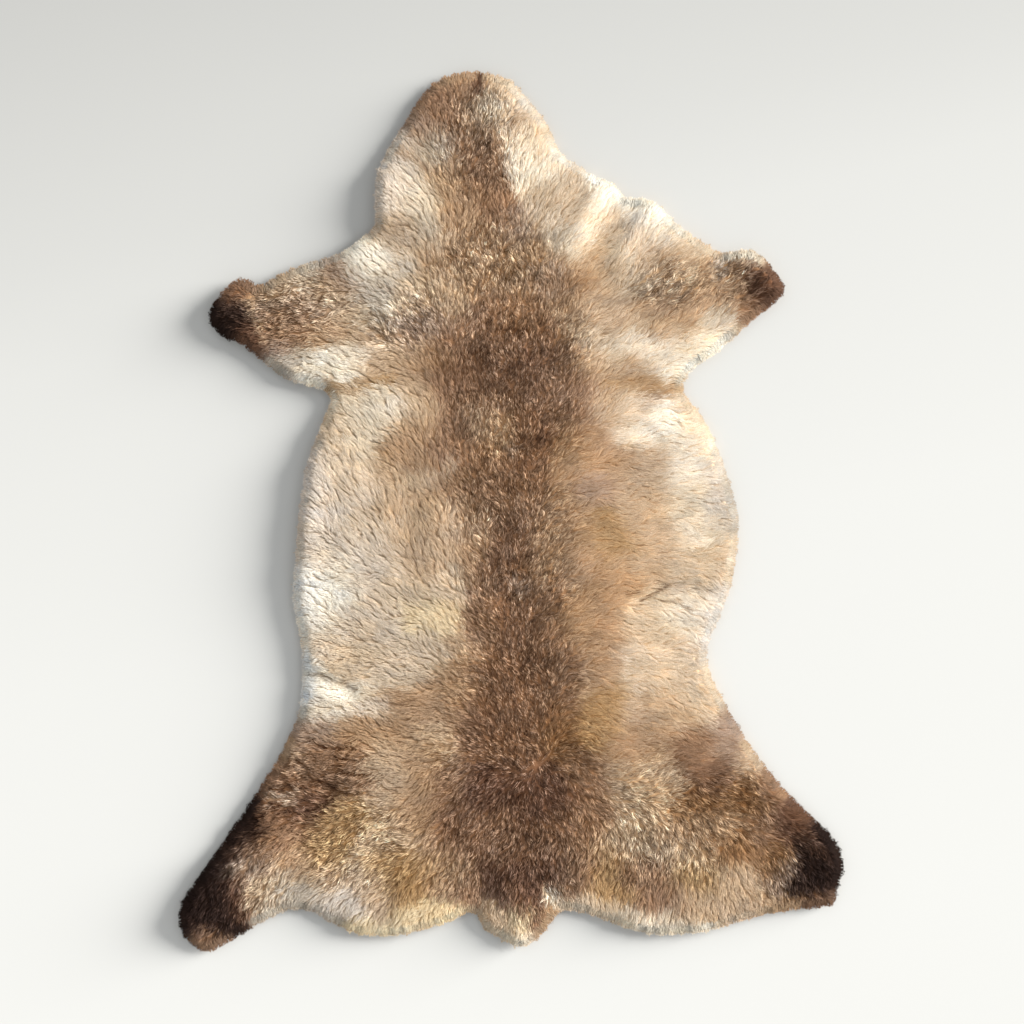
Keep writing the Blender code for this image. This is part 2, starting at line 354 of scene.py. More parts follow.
middle_of_back = drawn((0, 0))
print("wool top over the middle of the back:", round(read_map(top_map, middle_of_back)[0] / MM, 1), "mm")

# %% [markdown]
# ## The rim as a smooth line
#
# The solid's rim goes in and out at every lock. Wool there needs a smoother line to lean away from, so the
# loop is made even and averaged, and the way out of it is read across a couple of centimetres.

# %% Rim line
RIM_STEP = 2 * MM
RIM_ROUNDS = 14


def evenly_spaced(loop, step):
    closed = np.vstack([loop, loop[:1]])
    walked = np.concatenate([[0], np.cumsum(np.linalg.norm(np.diff(closed, axis=0), axis=1))])
    wanted = np.linspace(0, walked[-1], round(walked[-1] / step), endpoint=False)
    return np.stack([np.interp(wanted, walked, closed[:, axis]) for axis in range(closed.shape[1])], 1)


def averaged(loop, rounds):
    for _ in range(rounds):
        loop = (np.roll(loop, 1, 0) + 2 * loop + np.roll(loop, -1, 0)) / 4
    return loop


rim_line = averaged(evenly_spaced(rim[:, :2], RIM_STEP), RIM_ROUNDS)
rim_along = unit(averaged(np.roll(rim_line, -1, 0) - np.roll(rim_line, 1, 0), RIM_ROUNDS))
rim_out = np.stack([rim_along[:, 1], -rim_along[:, 0]], 1)
rim_tree = KDTree(len(rim_line))
for i, place in enumerate(rim_line):
    rim_tree.insert((*place, 0), i)
rim_tree.balance()


def to_rim(places):
    """For each plan point, how far inside the rim line it is, and which of its points is nearest."""
    found = [rim_tree.find((x, y, 0)) for x, y in places]
    nearest = np.array([hit[1] for hit in found])
    outside = ((places - rim_line[nearest]) * rim_out[nearest]).sum(1) > 0
    return np.array([hit[2] for hit in found]) * np.where(outside, -1, 1), nearest


print("rim line:", len(rim_line), "points,", round(len(rim_line) * RIM_STEP, 2), "m round")

# %% [markdown]
# ## Which way the wool lies
#
# Wool is combed by wear: it leans outwards on the sides, runs down the legs and stands almost upright along
# the back. The strokes below are a combing chart, as if drawn on the skin: a place, the way the wool
# leans there, in degrees, and how far its tips lie from its roots, in millimetres. Between the strokes the
# chart is blended, and the nearest count most.

# %% The combing chart
Stroke = namedtuple("Stroke", "x y turn reach")
STROKES = [Stroke(*numbers) for numbers in (
    (-50, 500, 95, 6), (-100, 470, 118, 7), (10, 470, 66, 8), (-40, 410, 92, 5), (-130, 400, 118, 10),
    (-100, 350, 110, 8), (40, 410, 58, 9), (95, 370, 52, 10), (150, 335, 44, 10), (-20, 330, 92, 5),
    (-170, 300, 138, 9), (-220, 260, 168, 6), (-290, 250, 188, 6), (-345, 235, 205, 7), (-240, 185, 200, 9),
    (-110, 240, 112, 6), (0, 240, 84, 5), (80, 250, 66, 6), (150, 265, 36, 7), (220, 285, 30, 8),
    (305, 275, 24, 8), (230, 205, 22, 10), (120, 185, 34, 8), (-160, 165, 168, 8), (-20, 150, 96, 5),
    (60, 120, 66, 5), (-190, 110, 122, 10), (-100, 90, 116, 8), (180, 100, 5, 10), (110, 60, 10, 8),
    (-30, 40, 104, 5), (30, 30, 74, 5), (-230, 20, 142, 10), (-150, 20, 128, 10), (-90, -20, 125, 8),
    (230, 40, -8, 11), (150, 0, -5, 10), (90, -30, 5, 7), (0, -70, 92, 5), (-235, -90, 158, 10),
    (-160, -90, 145, 10), (-95, -110, 145, 9), (220, -80, -12, 11), (140, -110, -10, 10), (60, -110, 40, 5),
    (-30, -150, 118, 5), (-220, -180, 172, 10), (-140, -180, 160, 9), (-70, -190, 150, 6),
    (20, -200, 92, 5), (110, -190, -10, 8), (200, -190, -14, 10), (-200, -260, 166, 9),
    (-110, -260, 172, 7), (0, -270, 120, 5), (130, -260, -20, 7), (220, -260, -34, 9), (-240, -330, 165, 8),
    (-160, -340, 196, 7), (-60, -340, 236, 5), (60, -340, -60, 5), (150, -320, 40, 6), (200, -330, 20, 7),
    (165, -375, -104, 8), (250, -350, -28, 8), (320, -390, -40, 8), (375, -430, -50, 7),
    (-310, -410, 226, 8), (-370, -480, 236, 7), (-230, -430, 205, 8), (-250, -470, 250, 8),
    (-140, -420, 208, 8), (-120, -480, 256, 9), (-40, -420, 258, 5), (0, -490, 264, 9), (35, -495, 292, 9),
    (70, -420, -84, 6), (110, -470, -98, 9), (190, -430, -92, 9), (200, -490, -86, 9), (270, -450, -64, 9),
    (330, -460, -58, 8),
)]
COMB_REACH = 42 * MM
COMB_EVEN = 1e-4


def soft_noise(places, scale, seed):
    """Smooth noise of about -0.5 to 0.5 at each plan point, with lumps of that size."""
    return np.array([noise.noise((x / scale, y / scale, seed)) for x, y in places])


def combing(places):
    """The way the wool leans at each plan point, in plan and at unit length, and the reach of its tips."""
    strokes = np.array(STROKES, float)
    centres = drawn(strokes[:, :2])
    apart = ((places[:, None, :] - centres[None]) ** 2).sum(2)
    weight = np.exp(-apart / (2 * COMB_REACH ** 2)) + COMB_EVEN
    weight /= weight.sum(1, keepdims=True)
    turn = np.radians(strokes[:, 2])
    way = unit(weight @ np.stack([np.cos(turn), np.sin(turn)], 1))
    return way, weight @ strokes[:, 3] * MM


def turned(way, by):
    """Plan directions turned anticlockwise by angles."""
    return np.stack([way[:, 0] * np.cos(by) - way[:, 1] * np.sin(by),
                     way[:, 0] * np.sin(by) + way[:, 1] * np.cos(by)], 1)


print(len(STROKES), "strokes of the comb")

# %% [markdown]
# ## The dyes of the fleece
#
# Nothing is dyed on this skin, but a sheep's wool is never one colour: sooty brown along the spine, tan
# beside it, cream on the sides and almost black at the feet. A small box of named tones is mixed on the skin
# in soft oval dabs, and drawn with a few brush lines where a stripe or a parting is narrow. Both
# lists name a tone and a place, so each can be moved by eye.
# A few dabs and lines stand for light and shade, not for the wool's colour; each is marked where it stands.

# %% A box of tones
TONES = {
    "ivory": (250, 237, 212),
    "milk": (232, 219, 200),
    "cream": (235, 215, 187),
    "ash": (220, 203, 186),
    "oat": (219, 195, 168),
    "fawn": (212, 186, 156),
    "straw": (236, 206, 157),
    "frost": (244, 238, 226),
    # stone, a shaded grey, is dabbed mostly where the rim lies in shade: painted shade.
    "stone": (190, 175, 157),
    "sand": (192, 162, 131),
    "tan": (170, 138, 108),
    "ochre": (163, 130, 92),
    "lilac": (154, 130, 112),
    "brown": (135, 106, 84),
    "russet": (126, 94, 66),
    "umber": (112, 86, 68),
    "soot": (86, 64, 52),
    "black": (26, 18, 15),
}


def linear(tone):
    """A tone as a screen shows it, 0 to 255, as the light that it sends back, 0 to 1."""
    value = np.array(tone) / 255
    return np.where(value < 0.04045, value / 12.92, ((value + 0.055) / 1.055) ** 2.4)


DEEPENS = 0.85
LIFT = np.array((0.94, 0.975, 0.985))
HUE_FADES = (-0.10, 0.70)
EYE = np.array((0.21, 0.72, 0.07))


def fleece_light(tone):
    """The light that a single fibre must send back for the fleece to look like the tone. Light is lost
    between dark fibres, so they are lightened. It goes from one pale fibre to the next and takes up more of
    their colour each time, so those are made greyer."""
    light = linear(tone)
    whole = light @ EYE
    fade = HUE_FADES[0] + HUE_FADES[1] * whole
    return LIFT * whole ** DEEPENS * (light / whole) ** (1 - fade)


LIGHT_OF = {name: fleece_light(tone) for name, tone in TONES.items()}
print(len(TONES), "tones, the palest sends back", LIGHT_OF["ivory"].round(2))

# %% Dabs of tone, region by region: x, y, half width, half height in drawn millimetres, and the tone
DABS = {
    "neck": [
        (-85, 495, 30, 22, "brown"), (-60, 518, 26, 10, "tan"), (-22, 500, 18, 22, "fawn"),
        (-2, 508, 12, 14, "fawn"), (16, 488, 16, 24, "ash"), (38, 460, 14, 20, "fawn"),
        (7, 468, 8, 10, "tan"), (-34, 470, 20, 28, "fawn"), (-80, 465, 20, 22, "brown"),
        (-116, 468, 14, 20, "lilac"), (-135, 442, 14, 14, "ash"), (-95, 432, 20, 16, "stone"),
        (-40, 430, 22, 28, "brown"), (-28, 385, 16, 22, "brown"), (42, 435, 18, 18, "cream"),
        (14, 428, 14, 16, "cream"), (28, 398, 20, 18, "ivory"), (-75, 395, 16, 18, "tan"),
        (-142, 385, 18, 32, "ash"), (-104, 370, 22, 24, "cream"), (-64, 355, 14, 22, "tan"),
        (-20, 360, 14, 12, "brown"), (4, 338, 20, 16, "lilac"), (36, 362, 16, 22, "fawn"),
        # Dabs from x = 60 to 220 in the next three rows follow the ripples on the right of the neck: ivory
        # and cream on the crests are painted light, fawn between them painted shade.
        (62, 372, 16, 22, "fawn"), (102, 382, 16, 18, "ivory"), (86, 345, 14, 18, "cream"),
        (60, 322, 16, 14, "cream"), (120, 332, 10, 18, "fawn"), (164, 357, 18, 16, "ivory"),
        (148, 325, 14, 14, "fawn"), (126, 304, 14, 12, "cream"), (192, 330, 16, 14, "cream"),
        (216, 320, 16, 12, "fawn"), (-132, 334, 20, 14, "sand"), (-98, 324, 18, 14, "fawn"),
    ],
    "left foreleg": [
        (-170, 302, 22, 20, "ivory"), (-140, 286, 14, 12, "stone"), (-205, 280, 16, 12, "lilac"),
        (-328, 264, 14, 12, "umber"), (-342, 232, 22, 22, "black"), (-318, 208, 18, 12, "soot"),
        (-275, 272, 24, 12, "sand"), (-240, 282, 20, 10, "stone"), (-250, 248, 34, 16, "lilac"),
        (-266, 224, 22, 12, "brown"), (-284, 204, 14, 10, "lilac"), (-212, 250, 20, 18, "sand"),
        (-228, 216, 22, 12, "tan"), (-268, 182, 22, 9, "stone"), (-226, 172, 22, 14, "ivory"),
        (-192, 190, 22, 12, "cream"), (-165, 245, 20, 20, "stone"), (-155, 208, 24, 16, "sand"),
        (-140, 178, 20, 12, "sand"),
    ],
    "shoulders": [
        (-78, 305, 20, 18, "tan"), (-10, 310, 36, 20, "tan"), (-10, 275, 36, 18, "tan"),
        (-90, 258, 28, 24, "sand"), (-54, 215, 18, 12, "brown"), (-84, 222, 14, 10, "lilac"),
        (-112, 215, 22, 14, "lilac"),
        (-95, 180, 20, 14, "tan"), (-40, 182, 30, 28, "umber"), (-20, 148, 28, 18, "umber"),
        (0, 235, 28, 24, "brown"), (36, 190, 22, 24, "umber"), (62, 160, 20, 18, "brown"),
        (44, 272, 24, 14, "lilac"), (76, 278, 16, 16, "tan"), (72, 236, 20, 20, "tan"),
        (100, 258, 18, 18, "sand"), (96, 215, 20, 16, "fawn"), (86, 172, 16, 12, "sand"),
    ],
    "right foreleg": [
        (104, 300, 18, 14, "sand"), (140, 272, 20, 16, "fawn"), (125, 235, 20, 16, "sand"),
        (190, 285, 28, 20, "sand"), (186, 250, 28, 16, "tan"), (232, 278, 16, 16, "tan"),
        (244, 250, 18, 12, "tan"), (286, 302, 14, 10, "cream"), (268, 266, 12, 16, "tan"),
        (302, 268, 20, 20, "soot"), (316, 262, 12, 16, "soot"), (290, 240, 14, 12, "brown"),
        (250, 224, 16, 10, "stone"), (224, 194, 24, 14, "ivory"), (178, 190, 26, 12, "cream"),
        (175, 222, 24, 12, "sand"), (140, 206, 20, 14, "cream"), (130, 180, 22, 9, "sand"),
        (195, 170, 16, 8, "ivory"),
    ],
    "left side": [
        (-192, 128, 24, 12, "cream"), (-150, 122, 20, 14, "cream"), (-212, 84, 20, 26, "fawn"),
        (-172, 88, 22, 20, "cream"), (-236, 30, 14, 34, "ash"), (-190, 36, 24, 24, "oat"),
        (-112, 120, 16, 22, "sand"), (-118, 78, 24, 16, "tan"), (-84, 130, 14, 20, "brown"),
        (-76, 88, 14, 22, "brown"), (-150, 45, 18, 12, "sand"), (-132, 4, 24, 14, "sand"),
        (-64, 50, 12, 16, "brown"), (-216, -40, 24, 32, "ash"), (-166, -30, 24, 22, "oat"),
        (-125, -34, 20, 14, "sand"), (-86, -28, 12, 11, "sand"), (-94, -60, 16, 14, "sand"),
        (-80, -92, 16, 12, "fawn"), (-160, -75, 26, 20, "oat"), (-205, -96, 28, 26, "ivory"),
        (-222, -128, 18, 12, "ivory"),
        (-242, -112, 12, 36, "frost"), (-130, -100, 22, 16, "fawn"), (-100, -130, 22, 16, "straw"),
        (-160, -132, 26, 16, "oat"), (-210, -150, 24, 18, "oat"), (-192, -183, 18, 8, "fawn"),
        (-238, -196, 12, 20, "frost"), (-190, -210, 26, 12, "ivory"), (-142, -170, 26, 14, "fawn"),
        (-100, -176, 20, 14, "fawn"), (-150, -206, 20, 10, "oat"), (-110, -236, 26, 13, "tan"),
        (-215, -240, 22, 12, "cream"), (-165, -246, 20, 10, "ash"), (-136, -272, 22, 14, "tan"),
        (-186, -268, 20, 11, "tan"), (-240, -264, 14, 11, "lilac"), (-90, -280, 20, 18, "sand"),
    ],
    "back": [
        (-28, 108, 20, 28, "tan"), (-36, 58, 14, 24, "brown"), (-20, 18, 20, 24, "brown"),
        (26, 80, 18, 36, "umber"), (20, 20, 20, 28, "brown"), (70, 110, 22, 20, "brown"),
        (64, 60, 14, 26, "tan"), (60, 10, 12, 26, "tan"), (-44, -30, 12, 34, "tan"),
        (0, -40, 20, 34, "umber"), (36, -58, 18, 40, "tan"), (-34, -112, 14, 24, "brown"),
        (10, -130, 22, 32, "umber"), (48, -118, 12, 36, "brown"), (-56, -168, 16, 14, "sand"),
        (-30, -192, 20, 28, "umber"), (-62, -214, 16, 18, "tan"), (20, -190, 24, 30, "umber"),
        (26, -265, 18, 32, "umber"), (-30, -260, 22, 24, "umber"), (62, -200, 16, 28, "brown"),
        (60, -258, 18, 22, "russet"),
    ],
    "right side": [
        (84, 84, 16, 18, "tan"), (106, 120, 16, 14, "sand"), (132, 116, 14, 12, "fawn"),
        (112, 58, 22, 14, "tan"), (98, 24, 18, 16, "lilac"), (152, 90, 17, 14, "cream"),
        (155, 52, 22, 12, "sand"), (188, 106, 18, 14, "ivory"), (208, 124, 12, 12, "fawn"),
        (214, 76, 20, 22, "cream"),
        (236, 32, 16, 28, "ash"), (200, 36, 20, 18, "cream"), (160, 10, 22, 18, "sand"),
        (214, -12, 22, 22, "cream"), (256, 4, 12, 28, "stone"), (84, -58, 14, 34, "tan"),
        (80, -120, 14, 28, "tan"), (106, -28, 18, 22, "ochre"), (112, -82, 18, 20, "tan"),
        (150, -60, 26, 11, "sand"), (162, -22, 24, 18, "sand"), (214, -62, 22, 11, "fawn"),
        (110, -140, 18, 20, "tan"), (150, -132, 20, 14, "fawn"), (205, -124, 28, 16, "cream"),
        (242, -118, 12, 24, "ash"), (256, -60, 12, 26, "fawn"), (100, -190, 18, 22, "tan"),
        (104, -248, 18, 22, "ochre"), (126, -230, 13, 13, "ochre"), (155, -190, 22, 24, "fawn"),
        (206, -180, 20, 28, "fawn"), (164, -240, 22, 20, "sand"), (228, -226, 14, 18, "fawn"),
        (200, -250, 14, 13, "sand"), (150, -276, 22, 16, "tan"),
    ],
    "left hind leg": [
        (-262, -290, 14, 12, "tan"), (-214, -292, 20, 12, "brown"), (-252, -312, 22, 9, "brown"),
        (-225, -328, 24, 10, "umber"), (-192, -328, 18, 14, "brown"), (-272, -336, 20, 11, "umber"),
        (-240, -352, 18, 8, "soot"), (-270, -366, 20, 9, "umber"), (-312, -372, 14, 20, "black"),
        (-342, -408, 14, 20, "black"), (-264, -386, 22, 11, "brown"), (-300, -400, 18, 10, "brown"),
        (-320, -424, 18, 13, "lilac"), (-362, -450, 24, 28, "black"), (-385, -482, 14, 22, "black"),
        (-345, -486, 16, 18, "black"), (-356, -516, 20, 10, "brown"), (-330, -466, 10, 18, "soot"),
        (-300, -456, 15, 15, "sand"), (-262, -454, 18, 13, "stone"), (-248, -424, 20, 11, "tan"),
        (-215, -398, 20, 18, "ochre"), (-205, -440, 20, 14, "sand"), (-206, -476, 20, 13, "ash"),
        (-288, -484, 18, 8, "stone"),
    ],
    "rump": [
        (-150, -302, 20, 16, "sand"), (-186, -364, 20, 14, "ochre"), (-150, -350, 20, 18, "sand"),
        (-146, -392, 22, 15, "sand"), (-110, -352, 18, 22, "tan"), (-130, -422, 22, 14, "ochre"),
        (-162, -450, 20, 13, "sand"), (-124, -450, 13, 11, "ochre"), (-164, -498, 20, 9, "straw"),
        (-96, -480, 22, 12, "straw"), (-80, -422, 18, 22, "tan"), (-100, -306, 18, 18, "tan"),
        (-66, -322, 18, 18, "brown"), (-60, -380, 20, 24, "umber"), (-58, -448, 13, 16, "brown"),
        (-24, -330, 17, 17, "soot"), (22, -342, 22, 26, "soot"), (50, -332, 20, 16, "soot"),
        (-18, -390, 18, 22, "umber"), (32, -386, 22, 20, "umber"), (48, -422, 16, 13, "soot"),
        (-10, -430, 18, 13, "soot"), (8, -456, 12, 14, "soot"), (6, -482, 16, 10, "straw"),
        (-22, -486, 10, 14, "sand"),
        (-30, -502, 8, 8, "fawn"), (30, -474, 8, 18, "soot"), (5, -504, 20, 14, "cream"),
        (40, -492, 9, 12, "tan"), (52, -456, 9, 11, "cream"), (84, -322, 18, 18, "brown"),
        (92, -368, 20, 22, "brown"), (80, -430, 20, 18, "brown"),
    ],
    "right hind leg": [
        (132, -330, 20, 20, "sand"), (130, -388, 20, 22, "sand"), (176, -314, 17, 17, "sand"),
        (164, -360, 20, 18, "sand"), (214, -280, 17, 17, "brown"), (232, -312, 20, 14, "umber"),
        (256, -264, 12, 12, "lilac"), (286, -300, 14, 12, "sand"), (266, -340, 22, 13, "russet"),
        (214, -345, 18, 13, "russet"), (195, -372, 18, 14, "tan"), (236, -376, 20, 13, "tan"),
        (266, -400, 18, 15, "russet"), (186, -408, 20, 16, "sand"), (216, -432, 20, 12, "ochre"),
        (246, -430, 15, 13, "sand"), (276, -444, 17, 15, "sand"), (292, -378, 16, 13, "brown"),
        (308, -334, 15, 9, "brown"), (305, -408, 16, 15, "russet"), (325, -432, 15, 13, "lilac"),
        (336, -374, 18, 14, "soot"), (366, -398, 18, 20, "black"), (380, -426, 15, 22, "black"),
        (354, -442, 16, 16, "black"), (374, -466, 14, 9, "umber"), (335, -464, 15, 11, "tan"),
        (300, -462, 15, 10, "sand"), (160, -430, 20, 16, "brown"), (120, -440, 20, 16, "ochre"),
        (172, -466, 22, 11, "brown"), (216, -466, 20, 13, "sand"), (256, -476, 18, 10, "sand"),
        (104, -478, 20, 10, "fawn"), (196, -498, 36, 8, "cream"), (142, -488, 20, 8, "cream"),
    ],
}
print(sum(len(region) for region in DABS.values()), "dabs in", len(DABS), "regions")

# %% Brush lines: narrow stripes, painted over the dabs
Line = namedtuple("Line", "name points half_width tone strength")
LINES = [
    # Painted shade in the slit.
    Line("slit at the neck's end", [(-47, 526), (-48, 496)], 5, "soot", 1.0),
    Line("dark edge of the neck", [(-138, 440), (-118, 424), (-98, 408)], 6, "tan", 0.6),
    Line("light wrist", [(-312, 262), (-306, 236), (-298, 210)], 5, "sand", 0.5),
    # Painted shade in the shallow furrows at both armpits.
    Line("left armpit furrow", [(-214, 140), (-182, 152), (-140, 160)], 6, "ochre", 0.8),
    Line("right armpit furrow", [(206, 152), (160, 150), (112, 148)], 9, "ochre", 0.7),
    # Painted highlight on the right wrist.
    Line("right wrist gleam", [(256, 306), (250, 290), (246, 276)], 6, "ash", 0.7),
    Line("side streak, light", [(-136, 30), (-100, 40), (-74, 52)], 9, "fawn", 0.5),
    Line("side streak, dark", [(-120, 10), (-88, 20), (-58, 32)], 8, "tan", 0.6),
    # Partly the leg's own dark wool, partly painted shade along its upper edge.
    Line("black edge of the left hind leg", [(-306, -358), (-336, -396), (-366, -438)], 9, "black", 0.8),
    Line("bare edge at the left armpit", [(-229, 152), (-222, 142), (-218, 130)], 4, "frost", 0.9),
    # Painted highlights on the left thigh and foot.
    Line("thigh gleam", [(-282, -343), (-268, -340), (-250, -344)], 5, "stone", 0.3),
    Line("foot gleam", [(-334, -434), (-312, -424)], 8, "stone", 0.15),
    Line("rump edge, left", [(-236, -486), (-200, -496)], 8, "stone", 0.6),
    Line("rump edge, gold", [(-120, -492), (-92, -484), (-68, -480)], 8, "straw", 0.6),
    Line("tail, dark middle", [(6, -476), (4, -462), (0, -440)], 5, "umber", 0.6),
    Line("tuft on the spine", [(-2, -84), (6, -100)], 7, "lilac", 0.8),
    Line("fleck on the spine", [(-10, 74), (2, 66)], 6, "lilac", 0.8),
    Line("dark fleck, upper", [(20, 198), (28, 192)], 6, "soot", 0.8),
    Line("dark fleck, lower", [(28, 84), (32, 76)], 6, "soot", 0.7),
    Line("right foot, dark upper edge", [(322, -362), (350, -384), (372, -410)], 8, "soot", 0.6),
]


def to_line(places, points):
    """How far each plan point is from a line of drawn points."""
    ends = drawn(points)
    best = np.full(len(places), np.inf)
    for start, end in zip(ends, ends[1:]):
        along = end - start
        share = np.clip((places - start) @ along / (along @ along), 0, 1)
        best = np.minimum(best, np.linalg.norm(places - start - share[:, None] * along, axis=1))
    return best


print(len(LINES), "brush lines")

# %% Mix the tones at any place
WANDER = ((46 * MM, 15 * MM), (14 * MM, 6 * MM))
DAB_TABLE = [dab for region in DABS.values() for dab in region]
DAB_EVEN = 1e-5
Mottle = namedtuple("Mottle", "across upward amount")
MOTTLES = (Mottle(60 * MM, 60 * MM, 0.05), Mottle(34 * MM, 10 * MM, 0.08), Mottle(9 * MM, 7 * MM, 0.11))
WARMTH = np.array((0.018, 0.0, -0.035))
BANDS = ((0, 258, 105, 62), (-150, 235, 50, 40))
BAND_SIZE = np.array((55, 6.5)) * MM
BAND_AMOUNT = 0.75
BAND_TINT = np.array((0.8, 1.0, 1.2))
DARKEST = 0.004
BRIGHTEST = 0.95


def wandered(places):
    """The places, pushed about a little, so that a tone ends in an uneven edge."""
    moved = places.copy()
    for k, (scale, push) in enumerate(WANDER):
        moved[:, 0] += push * soft_noise(places, scale, seed=10.5 + k)
        moved[:, 1] += push * soft_noise(places, scale, seed=20.5 + k)
    return moved


def inside_any(ovals, places):
    """From 0 outside to 1 inside any of the ovals, each given as x, y, half width, half height as drawn."""
    most = np.zeros(len(places))
    for x, y, half_width, half_height in ovals:
        apart = (places - drawn((x, y))) / (np.array((half_width, half_height)) * MM)
        most = np.maximum(most, np.exp(-((apart ** 2).sum(1) ** 2)))
    return most


def wool_tone(places):
    """The wool's colour at each plan point."""
    moved = wandered(places)
    total = np.zeros((len(places), 3))
    weights = np.zeros((len(places), 1))
    for x, y, half_width, half_height, tone in DAB_TABLE:
        apart = (moved - drawn((x, y))) / (np.array((half_width, half_height)) * MM)
        weight = np.exp(-(apart ** 2).sum(1, keepdims=True)) + DAB_EVEN
        total += weight * np.log(LIGHT_OF[tone])
        weights += weight
    colour = np.exp(total / weights)
    for line in LINES:
        apart = to_line(moved, line.points) / (line.half_width * MM)
        share = line.strength * np.exp(-apart ** 4)[:, None]
        colour = colour * (1 - share) + LIGHT_OF[line.tone] * share
    for k, mottle in enumerate(MOTTLES):
        stretched = places / (mottle.across, mottle.upward)
        colour = colour * (1 + 2 * mottle.amount * soft_noise(stretched, 1, seed=30.5 + k)[:, None])
        colour = colour * (1 + 2 * WARMTH * soft_noise(stretched, 1, seed=40.5 + k)[:, None])
    banded = BAND_AMOUNT * inside_any(BANDS, moved) * soft_noise(moved / BAND_SIZE, 1, seed=90.5)
    colour = colour * (1 + banded[:, None] * BAND_TINT)
    return np.maximum(colour, DARKEST) * np.minimum(1, BRIGHTEST / colour.max(1, keepdims=True))


print("colour over the middle of the back:", wool_tone(middle_of_back)[0].round(3))

# %% [markdown]
# ## Where the wool is curly
#
# On the sides the wool lies in long, soft locks with thin partings. On the neck, the spine, the legs and the
# rump it stands up in short curls, with dark gaps between light tips. One more chart says where.

# %% The curl chart: x, y, half width, half height in drawn millimetres
CURLY = [
    (-40, 440, 50, 70), (-20, 300, 70, 60), (10, 200, 90, 70), (0, 100, 80, 70), (0, 0, 70, 70),
    (10, -100, 70, 70), (10, -200, 80, 70), (10, -300, 100, 70), (0, -400, 110, 80), (-260, 245, 70, 40),
    (-345, 235, 40, 40), (-230, -330, 70, 50), (-340, -450, 70, 80), (280, 275, 60, 40), (190, 270, 50, 30),
    (-120, 230, 50, 40), (170, -370, 90, 75), (350, -420, 60, 60), (-180, -400, 80, 60),
    (260, -350, 60, 50),
]


def curliness(places):
    """From 0, combed, to 1, curly."""
    return inside_any(CURLY, wandered(places))


print("curliness on the spine and on the side:", curliness(drawn([(0, 0), (-200, -50)])).round(2))

# %% [markdown]
# ## The leather
#
# The flesh side of the hide is pale suede. It is a sheet of one thickness, so the solid's underside is copied
# as an open surface, divided once to round its curls, and given its 2 mm by Solidify. It stays a little
# inside the wool, which hangs over its cut edge.

# %% Leather sheet
HIDE_THICKNESS = 2 * MM
HIDE_CUTS = 1


def copy_of_faces(wanted):
    """A new mesh of the welded skin's faces for which wanted(face) is true."""
    part = skin.copy()
    unwanted = [face for face in part.faces if not wanted(face)]
    bmesh.ops.delete(part, geom=unwanted, context="FACES")
    return part


def is_leather(face):
    return not any(looks_up(near) for vertex in face.verts for near in vertex.link_faces)


def add_object(name, mesh, material):
    """An object made from an edit mesh, which is used up."""
    data = bpy.data.meshes.new(name)
    mesh.to_mesh(data)
    mesh.free()
    data.shade_smooth()
    data.materials.append(material)
    return placed(name, data)


leather_mesh = copy_of_faces(is_leather)
leather_area = sum(face.calc_area() for face in leather_mesh.faces)
print("leather:", round(leather_area, 3), "square metres")

# %% Suede for the flesh side
SUEDE = (0.63, 0.52, 0.40)
SUEDE_DARK = (0.42, 0.31, 0.22)
SUEDE_GRAIN = (0.72, 0.61, 0.48)
NAP_DEPTH = 0.4 * MM


def noise_node(tree, place, scale, detail):
    made = tree.nodes.new("ShaderNodeTexNoise")
    made.inputs["Scale"].default_value = scale
    made.inputs["Detail"].default_value = detail
    tree.links.new(place, made.inputs["Vector"])
    return made.outputs["Fac"]


def mixed_by(tree, share, first, second, blend="MIX"):
    """A colour mix node. Share, first and second are sockets, or values to set. The node also holds sockets
    for mixing numbers, so those for colours are its seventh and eighth, and its third output."""
    made = tree.nodes.new("ShaderNodeMix")
    made.data_type = "RGBA"
    made.blend_type = blend
    for socket, value in ((made.inputs[0], share), (made.inputs[6], first), (made.inputs[7], second)):
        if isinstance(value, bpy.types.NodeSocket):
            tree.links.new(value, socket)
        else:
            socket.default_value = value
    return made.outputs[2]


def bump_node(tree, height, distance, shader):
    made = tree.nodes.new("ShaderNodeBump")
    made.inputs["Distance"].default_value = distance
    tree.links.new(height, made.inputs["Height"])
    tree.links.new(made.outputs["Normal"], shader.inputs["Normal"])


def suede_material():
    material, tree, shader = new_material("suede", roughness=0.95, sheen=0.25, gloss=0.15)
    place = place_on(tree)
    clouds = ramp_node(tree, noise_node(tree, place, scale=9, detail=4), start=0.42, end=0.75)
    grain = ramp_node(tree, noise_node(tree, place, scale=60, detail=5), start=0.45, end=0.7)
    clouded = mixed_by(tree, clouds, (*SUEDE, 1), (*SUEDE_DARK, 1))
    speckled = mixed_by(tree, grain, clouded, (*SUEDE_GRAIN, 1))
    tree.links.new(speckled, shader.inputs["Base Color"])
    bump_node(tree, noise_node(tree, place, scale=420, detail=3), NAP_DEPTH, shader)
    return material


def smooth(mesh, vertices, axes):
    """Moves each vertex half way to the middle of its neighbours, along the named axes."""
    along = {f"use_axis_{axis}": axis in axes for axis in "xyz"}
    bmesh.ops.smooth_vert(mesh, verts=vertices, factor=0.5, **along)


bmesh.ops.subdivide_edges(leather_mesh, edges=leather_mesh.edges, cuts=HIDE_CUTS, use_grid_fill=True)
smooth(leather_mesh, [vertex for vertex in leather_mesh.verts if not vertex.is_boundary], "z")
hide = add_object("hide_leather", leather_mesh, suede_material())
thicken = hide.modifiers.new("thickness", "SOLIDIFY")
thicken.thickness = HIDE_THICKNESS
thicken.offset = -1
print("hide:", len(hide.data.polygons), "faces before its thickness")

